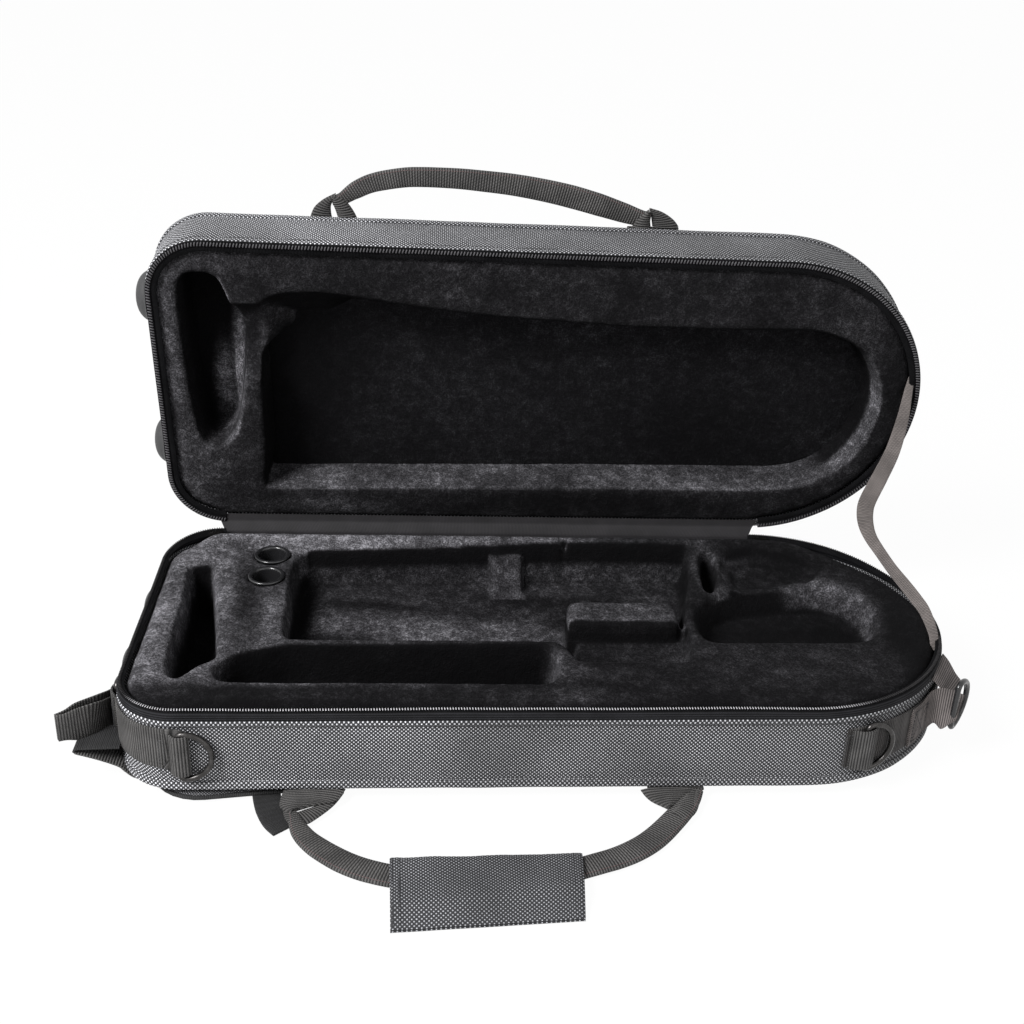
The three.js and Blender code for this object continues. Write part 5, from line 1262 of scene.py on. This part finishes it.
BASE_LEAVES = [([(-174.3, -110.7), (-176.7, -128.1), (-173.8, -134.1), (-168.5, -137.6)],
                [(-133.0, -110.5), (-140.1, -125.6), (-152.7, -129.5), (-166.7, -135.2)], (-2.0, -4.4), 2.0),
               ([(-150.0, -110.6), (-152.9, -126.3), (-161.2, -131.8), (-166.7, -134.3)],
                [(-134.0, -110.6), (-142.1, -128.0), (-154.8, -143.2), (-159.9, -145.6)], (-5.0, -6.2), 0.6),
               ([(-176.5, -121.0), (-172.7, -138.6), (-169.5, -144.5), (-166.5, -150.7)],
                [(-165.5, -124.0), (-165.6, -139.6), (-163.2, -144.4), (-161.3, -151.2)], (-5.2, -6.0), 1.0),
               ([(59.1, -106.3), (60.2, -114.3), (65.6, -124.7), (76.5, -132.3)],
                [(103.1, -106.1), (98.9, -115.6), (91.5, -118.7), (79.4, -130.6)], (-2.0, -4.0), 1.6),
               ([(91.0, -112.0), (87.4, -120.7), (81.8, -128.0), (76.8, -134.0)],
                [(103.5, -107.0), (99.3, -122.7), (94.5, -135.0), (85.5, -144.5)], (-3.6, -5.2), 1.5)]
web, thread = handle(BASE_STRAP, BASE_STRAP_HEIGHTS, BASE_STRAP_WIDTHS, 4.4, BASE_LEAVES, 1, 1.5)
piece("base_handle_web", web, "webbing", "base_handle", ["base_handle"], sharp=50)
piece("base_handle_stitches", thread, "handle_thread", "base_handle")

LID_STRAP_Z = 118.9
LID_STRAP = [(-155.6, -128.9), (-148.4, -130.6), (-139.0, -136.9), (-126.2, -143.0), (-106.2, -147.2), (-90.6, -148.2),
             (-66.4, -147.7), (-47.0, -146.2), (-26.9, -144.2), (-6.7, -141.0), (13.8, -136.7), (34.1, -131.2),
             (54.7, -124.8), (67.6, -120.9), (75.0, -120.0)]
LID_STRAP_WIDTHS = [7, 13, 14.5, 14.8, 15, 15.5, 16, 16.5, 17, 17.5, 17, 15, 11]
LID_LEAVES = [([(-173.2, -108.9), (-172.6, -114.0), (-169.0, -123.1), (-162.3, -129.5), (-153.0, -134.6)],
               [(-154.4, -109.4), (-156.0, -114.4), (-156.9, -121.7), (-156.3, -126.3), (-153.4, -131.3)],
               (118.6, 119.2), 1.6), ([(-150.0, -109.5), (-151.3, -114.5), (-153.2, -121.8), (-154.8, -127.1),
                                       (-154.9, -133.2)], [(-136.0, -109.8), (-137.3, -114.8), (-141.1, -123.2),
                                                           (-146.2, -129.9), (-153.2, -133.4)], (117.2, 116.6), 2.4),
              ([(60.0, -106.8), (61.0, -112.5), (64.6, -119.5), (69.1, -124.9), (73.0, -128.6)],
               [(77.0, -107.2), (76.1, -112.8), (75.0, -119.7), (74.3, -124.6), (73.6, -128.2)], (117.4, 116.8), 2.2),
              ([(79.2, -107.2), (77.5, -112.9), (76.1, -119.7), (75.0, -124.6), (73.4, -128.7)],
               [(99.6, -107.7), (97.5, -113.4), (92.3, -120.3), (83.5, -126.1), (73.8, -129.1)], (118.2, 118.6), 2.0)]
web, thread = handle(LID_STRAP, [LID_STRAP_Z] * 4, LID_STRAP_WIDTHS, 4.2, LID_LEAVES, -1, 1.4)
piece("lid_handle_web", web, "webbing", "lid_handle", ["lid_handle"], sharp=50)
piece("lid_handle_stitches", thread, "handle_thread", "lid_handle")


def anchor(x, z, out):
    """A handle's sewn-down end on a big face, with its box stitching."""
    rows = [[x, PIVOT_Y + d, z, ANCHOR_WIDTH, ANCHOR_THICK] for d in (1.4, 20, 40, 1.4 + ANCHOR_LENGTH)]
    face = z + out * (ANCHOR_THICK / 2 + 0.1)
    half, near, far = ANCHOR_WIDTH / 2 - 4, PIVOT_Y + 22, PIVOT_Y + ANCHOR_LENGTH - 4
    corners = [(x - half, near, face), (x + half, near, face), (x + half, far, face), (x - half, far, face)]
    return strap(rows, UP, ribs=0.1), crossed_box(corners, [(0, 0, out)] * 4, 2.8, 2.1, 0.28)


for side, base_x, lid_x in zip(("left", "right"), BASE_ANCHORS, LID_ANCHORS):
    for body, x, z, out in (("base", base_x, -1.3, -1), ("lid", lid_x, LID_PANEL_Z + 1.3, 1)):
        web, sewn = anchor(x, z, out)
        piece(f"{body}_anchor_web_{side}", [web], "webbing", body, [f"{body}_handle_anchor_{side}"])
        piece(f"{body}_anchor_stitches_{side}", [sewn], "thread", body)


# Left end: webbing round the ring's bow, drawn together at its tip, and the shoulder strap's webbing

END_OUTER = [(-324.2, -93.2), (-319, -88.2), (-313.5, -83.5), (-306.5, -77.6), (-301.4, -73.0), (-297.8, -66.6),
             (-295.2, -57.6), (-294.2, -49.5)]
END_INNER = [(-289.8, -44.6), (-292.6, -50), (-293.9, -58), (-295.2, -68), (-298.2, -77.5), (-303.6, -84.6),
             (-311, -89.4), (-318.5, -92.6), (-323.6, -94.2)]
END_TURN = [(-293.4, -45.6), (-291.6, -43.2)]
end_rows = [[x, y, np.interp(x, [-302, -297, -293], [30.5, 27, 20.5]), 25 if x > -316 else 21, WEB]
            for x, y in END_OUTER + END_TURN + END_INNER]
piece("end_loop_web_left", [strap(end_rows, UP, standing=True)], "webbing", "ring_end_left", ["end_loop_left"])

PAD_WEB_Y = -88.0
PAD_WEB_ROUTE = [(-266.3, -5.8), (-275, -4.4), (-280.8, 0.4), (-285, 4.6), (-296, 9.4), (-306, 12.8), (-311.8, 14.6),
                 (-313, 16.2)]
# The web's upper run is made of the near-black binding as painted shade, where the end loop shades it
PAD_PAINTED_SHADE_ROUTE = [(-313.2, 15.6), (-311.4, 18.0), (-304, 18.6), (-293, 19.2), (-283, 19.6)]
pad_web = strap([[x, PAD_WEB_Y, z, 25, WEB] for x, z in PAD_WEB_ROUTE], (0, 1, 0), standing=True)
pad_painted_shade = strap([[x, PAD_WEB_Y, z, 25.6, WEB] for x, z in PAD_PAINTED_SHADE_ROUTE], (0, 1, 0), standing=True, ribs=0.1)
piece("pad_web_woven", [pad_web], "webbing", "base", ["pad_web_left"])
piece("pad_web_painted_shade", [pad_painted_shade], "binding")
TAIL_ROUTE = [(-187.5, -111), (-185.5, -120), (-182.5, -130), (-177.5, -140.5), (-171.2, -148.0)]
tail = strap([[x, y, -7.9, 18.5, 2] for x, y in TAIL_ROUTE], UP, pitch=1.6, ribs=0.06)
piece("strap_tail_woven", [tail], "binding", "base", ["strap_tail"])


# Right end: a ring held off the wall by an upper and a lower web, with a sewn, twisted web in front of them.
# Places are (angle on the round end, distance out from the wall, z)

def wall_web(bar, seats, width, slack, seat_out):
    """A web from the wall round a bar and back to it. bar is (out, z), seats are the two heights on the wall."""
    place, along, outward = wall_frame(round_angle(-33))
    (bar_out, bar_z), (high, low) = bar, seats
    aim_high, aim_low = (math.atan2(z - bar_z, seat_out - bar_out) for z in seats)
    side = lambda share, z, edge: (seat_out + (bar_out - seat_out) * share, z + (bar_z + edge - z) * share)
    path = [(seat_out, high)] + [side(share, high, WRAP) for share in (0.35, 0.7)]
    for a in np.linspace(aim_high - QUARTER, aim_low + QUARTER, 8):
        path.append((bar_out + (WRAP + slack) * math.cos(a), bar_z + (WRAP + slack) * math.sin(a)))
    path += [side(share, low, -WRAP) for share in (0.7, 0.35)] + [(seat_out, low)]
    return strap([[*(place + outward * a + UP * b), width, WEB] for a, b in path], along, standing=True)


def round_point(angle, out, z):
    place, _, outward = wall_frame(round_angle(angle))
    return place + outward * out + UP * z


def ruled(edge_a, edge_b, thick=WEB, ribs=0.08):
    """Webbing between two selvedges that may twist, each a row of places."""
    edges = [smooth_profile([round_point(*q) for q in edge], 0.8) for edge in (edge_a, edge_b)]
    count = int(max(run_length(edge)[-1] for edge in edges) / 0.5)
    a, b = (evenly(edge, count)[1] for edge in edges)
    s = run_length((a + b) / 2)
    normal = unit(np.cross(np.gradient((a + b) / 2, axis=0), b - a))[:, None]
    share = np.linspace(0, 1, 9)[None, :, None]
    middle = a[:, None] * (1 - share) + b[:, None] * share
    half = (thick / 2 + ribs * np.cos(2 * math.pi * s / RIB_PITCH))[:, None, None]
    half = half * np.clip(np.minimum(share, 1 - share) / 0.08, 0.4, 1)
    return loft(np.concatenate([middle + normal * half, (middle - normal * half)[:, ::-1]], 1), s)


UPPER_FAR = [(-20, 1.4, 56.5), (-22, 6, 54), (-25, 12, 49.5), (-27, 17.5, 46.5), (-28, 18.6, 43)]
UPPER_NEAR = [(-37.5, 1.4, 56), (-37, 5, 53), (-36.5, 9, 48.5), (-36, 12.5, 43), (-36, 13.6, 39)]
TWIST_TOP = [(-50.5, 3.3, 45), (-45, 3.3, 45.5), (-39.5, 3.4, 48.5), (-36.5, 8, 50.5), (-34.5, 14.5, 49),
             (-32.8, 22.5, 45.5)]
TWIST_LOW = [(-50.5, 3.3, 14), (-45.5, 3.3, 14.5), (-41.5, 4.0, 17.5), (-39.5, 9, 25.5), (-40.5, 15.5, 24.6),
             (-39.4, 19.5, 28.6), (-37.4, 22.5, 31)]
PATCH = [(-49.3, 4.4, 17), (-41.6, 4.4, 18), (-41.2, 4.4, 42.5), (-49.3, 4.4, 42)]
piece("end_web_upper", [ruled(UPPER_FAR, UPPER_NEAR)], "end_web", "base", ["end_web_right_upper"])
piece("end_web_lower", [wall_web((11.5, 29), (31, 25), 12, 1, 1.9)], "end_web", "base", ["end_web_right_lower"])
bow_way = np.array([0.64, 0.768, 0.0])
end_ring = d_ring(round_point(-33, 20.5, 40.5) - bow_way * RING_REACH / 2, bow_way, UP)
piece("d_ring_end_right", [end_ring], "plastic", "base", ["end_ring_right"], sharp=0)
piece("end_web_twisted", [ruled(TWIST_TOP, TWIST_LOW)], "end_web", sharp=50)
patch_normals = [wall_frame(round_angle(a))[2] for a, _, _ in PATCH]
piece("end_web_stitches", [crossed_box([round_point(*q) for q in PATCH], patch_normals, *SMALL_STITCH)], "dark_thread")


# Grip: a wrap round the base handle with sewn borders, closed by its flap
GRIP_REAR = np.array([(-103.4, -179.6), (16.6, -175.2)])
GRIP_FRONT = np.array([(-100.6, -238.6), (14.4, -229.2)])
GRIP_LENGTH, GRIP_DEPTH = 118.0, 57.0
RIDGE_SHARES = (0.70, 0.57)


def grip_at(u, v):
    """Place on the grip: u runs from its left to its right end and v from its rear to its front edge."""
    rear = GRIP_REAR[0] + (GRIP_REAR[1] - GRIP_REAR[0]) * u
    front = GRIP_FRONT[0] + (GRIP_FRONT[1] - GRIP_FRONT[0]) * u
    return rear + (front - rear) * v


def wrap_height(u, v):
    """Height of the grip's upper face: a gentle rise to its ridge and a slope down to its front edge."""
    ridge = RIDGE_SHARES[0] + (RIDGE_SHARES[1] - RIDGE_SHARES[0]) * u
    rise = np.interp(v, [0, 0.08, 0.3, ridge - 0.06, ridge, ridge + 0.06, 0.97, 1],
                     [-3.4, -2.0, -0.9, 0.2, 0.3, -0.1, -5.6, -6.2])
    end = min(u, 1 - u) * GRIP_LENGTH
    border = 1 - step(end, 6.0, 7.4)
    x, y = grip_at(u, v)
    crease = noise.noise(Vector((x * 0.045, y * 0.05, 2.0))) + 0.4 * noise.noise(Vector((x * 0.12, y * 0.12, 5.0)))
    return rise + 0.35 * border - 0.6 * (1 - step(end, 0, 1.6)) + 0.55 * crease


def wrap_form(inset, low, lift, edge):
    """A flat form under the grip's upper face, its long edges drawn in by a share and rounded out by edge in mm. low
    gives its underside's height from its top's, lift is how far that top is from the face."""
    us = stations(0, 1, 1.4 / GRIP_LENGTH)
    vs = stations(inset, 1 - inset, 1.6 / GRIP_DEPTH)
    turn = lambda u, v, from_z, to_z: [(*grip_at(u, v), from_z * (1 - t) + to_z * t) for t in (0.25, 0.5, 0.75)]
    rings = []
    for u in us:
        top = [(*grip_at(u, v), wrap_height(u, v) + lift) for v in vs]
        bottom = [(x, y, low(z)) for x, y, z in top[::-1]]
        front = turn(u, 1 - inset + edge / GRIP_DEPTH, top[-1][2], bottom[0][2])
        rear = turn(u, inset - edge / GRIP_DEPTH, bottom[-1][2], top[0][2])
        rings.append(np.array(top + front + bottom + rear))
    return loft(rings, us * GRIP_LENGTH)


def grip_seam(end_distance):
    u = end_distance / GRIP_LENGTH
    points = [(*grip_at(u, v), wrap_height(u, v) + 0.05) for v in stations(0.03, 0.97, 1 / GRIP_DEPTH)]
    return stitches(points, (0, 0, 1), 2.6, 1.9, 0.3)


WRAP_BOTTOM_Z, FLAP_THICK = -8.9, 1.3
sleeve = wrap_form(0.02, lambda z: WRAP_BOTTOM_Z, -1.5, 1.1)
flap = wrap_form(0.015, lambda z: z - FLAP_THICK, 0, 0.7)
piece("grip_wrap", [sleeve], "grip", "base_handle", ["grip_sleeve"], sharp=60)
piece("grip_flap_cloth", [flap], "grip", "grip_flap", ["grip_flap"], sharp=60)
seams = [grip_seam(d) for d in (1.5, 5.8, GRIP_LENGTH - 5.8, GRIP_LENGTH - 1.5)]
piece("grip_stitches", seams, "dark_thread", "grip_flap")


# Shoulder straps: stuffed pads with bound edges, folded away under the base

PAD_LEFT, PAD_RIGHT, PAD_HALF_WIDTH = (-231.0, 86.0), (118.0, 37.0), 35.0
PAD_RINGS = [(28, -8.6), (14, -8.8), (5, -8.9), (2.2, -8.5), (1.4, -6.6), (1.6, -5.6), (2.6, -4.4), (6, -3.4),
             (14, -2.75),
             (28, -2.65)]  # inset, z


def pad_outline(side, inset):
    (x0, y0), (x1, y1) = ((x, y * side) for x, y in (PAD_LEFT, PAD_RIGHT))
    aim, r = math.atan2(y1 - y0, x1 - x0), PAD_HALF_WIDTH - inset

    def half_round(x, y, start):
        return [(x + r * math.cos(a), y + r * math.sin(a)) for a in np.linspace(start, start + 2 * QUARTER, 16)]

    right, left = half_round(x1, y1, aim - QUARTER), half_round(x0, y0, aim + QUARTER)
    edges = [[(a[0] + (b[0] - a[0]) * t, a[1] + (b[1] - a[1]) * t) for t in np.linspace(0, 1, 60)[1:-1]]
             for a, b in ((right[-1], left[0]), (left[-1], right[0]))]
    return np.array(right + edges[0] + left + edges[1])


def at_height(outline, z):
    return np.column_stack([outline, np.full(len(outline), z)])


for name, side in (("front", -1), ("rear", 1)):
    rings = [at_height(pad_outline(side, inset), z) for inset, z in PAD_RINGS]
    form = loft(rings, run_length(np.array(PAD_RINGS)), girth(rings[4][:, :2]))
    piece("shoulder_pad_cloth_" + name, [form], "pad", "base", ["shoulder_pad_" + name])
    piece("shoulder_pad_binding_" + name, [tube(at_height(pad_outline(side, 1.6), -6.0), 1.6, 10)], "binding", sharp=0)
yoke = strap([[128, y, -1.2, 44, WEB] for y in (-66, -30, 30, 66)], UP, pitch=2.8, ribs=0.02, step=2.0)
piece("yoke_patch", [yoke], "pad", "base", ["strap_yoke"])


# Feet
FOOT = [(0.01, 0), (19, 0), (19, 1.4), (18.2, 2.2), (16.8, 4.4), (14.2, 7.0), (10.6, 9.0), (6, 10.2), (0.01, 10.6)]
for body, z, front_y, rear_y in (("base", 29.0, -20.0, 58.0), ("lid", 90.2, -65.0, 58.0)):
    for end, y in (("front", front_y), ("rear", rear_y)):
        dome = lathe(smooth_profile(FOOT, 1.2), (-HALF_LENGTH - 0.9, y, z), (-1, 0, 0))
        piece(f"{body}_foot_dome_{end}", [dome], "rubber", body, [f"{body}_foot_{end}"])


# Zip sliders and pulls keep their CAD solids, with softened edges and a worn plating
for node in ("slider_left", "slider_right", "pull_left", "pull_right"):
    obj = frame["nodes"][node]
    obj.data.materials.clear()
    obj.data.materials.append(MATERIALS["metal"][0])
    bevel = obj.modifiers.new("edges", "BEVEL")
    bevel.width, bevel.segments, bevel.limit_method = 0.25 * MM, 2, "ANGLE"


# Floor, backdrop and light

FLOOR_REACH, FLOOR_GAP, FLOOR_GLOW = 40.0, 0.0004, 0.965
WORLD_LIGHT = 0.42


def white_to_camera(tree, share, lit, output, white_node):
    """Shows white, by a share, on camera, mirror and glass rays, and the lit shader on all others."""
    path = tree.nodes.new("ShaderNodeLightPath")
    total = path.outputs["Is Camera Ray"]

    def combined(operation, value):
        made = tree.nodes.new("ShaderNodeMath")
        made.operation = operation
        tree.links.new(total, made.inputs[0])
        if isinstance(value, float):
            made.inputs[1].default_value = value
        else:
            tree.links.new(value, made.inputs[1])
        return made.outputs[0]

    for other in ("Is Glossy Ray", "Is Transmission Ray"):
        total = combined("MAXIMUM", path.outputs[other])
    white = tree.nodes.new(white_node)
    white.inputs["Color"].default_value = (1, 1, 1, 1)
    mix = tree.nodes.new("ShaderNodeMixShader")
    for value, socket in zip((combined("MULTIPLY", share), lit, white.outputs[0]), mix.inputs):
        tree.links.new(value, socket)
    tree.links.new(mix.outputs[0], tree.nodes[output].inputs["Surface"])


def make_floor():
    corners = np.array([(-1, -1, 0), (1, -1, 0), (1, 1, 0), (-1, 1, 0)]) * FLOOR_REACH / MM
    corners[:, 2] = GROUND_Z - FLOOR_GAP / MM
    floor = mesh_object("floor", corners, [(0, 1, 2, 3)])
    material = bpy.data.materials.new("floor")
    material.use_nodes = True
    shader = material.node_tree.nodes["Principled BSDF"]
    shader.inputs["Base Color"].default_value = (0.9, 0.9, 0.9, 1)
    shader.inputs["Roughness"].default_value = 0.9
    white_to_camera(material.node_tree, FLOOR_GLOW, shader.outputs[0], "Material Output", "ShaderNodeEmission")
    floor.data.materials.append(material)


def make_world():
    world = bpy.data.worlds.new("studio")
    world.use_nodes = True
    dim = world.node_tree.nodes["Background"]
    dim.inputs["Color"].default_value = (1, 1, 1, 1)
    dim.inputs["Strength"].default_value = WORLD_LIGHT
    white_to_camera(world.node_tree, 1.0, dim.outputs[0], "World Output", "ShaderNodeBackground")
    bpy.context.scene.world = world


def area_light(name, place, aim, size, power):
    data = bpy.data.lights.new(name, "AREA")
    data.shape, data.size, data.energy = "DISK", size, power
    lamp = linked(bpy.data.objects.new(name, data))
    lamp.location = place
    lamp.rotation_euler = (Vector(aim) - Vector(place)).to_track_quat("-Z", "Y").to_euler()


make_floor()
make_world()
area_light("key", (-1.5, -1.1, 1.8), (-0.05, 0, 0.1), 1.0, 105)
area_light("fill", (1.3, -1.7, 0.9), (0, 0, 0.1), 1.4, 6)
bpy.context.scene.view_settings.view_transform = "Standard"
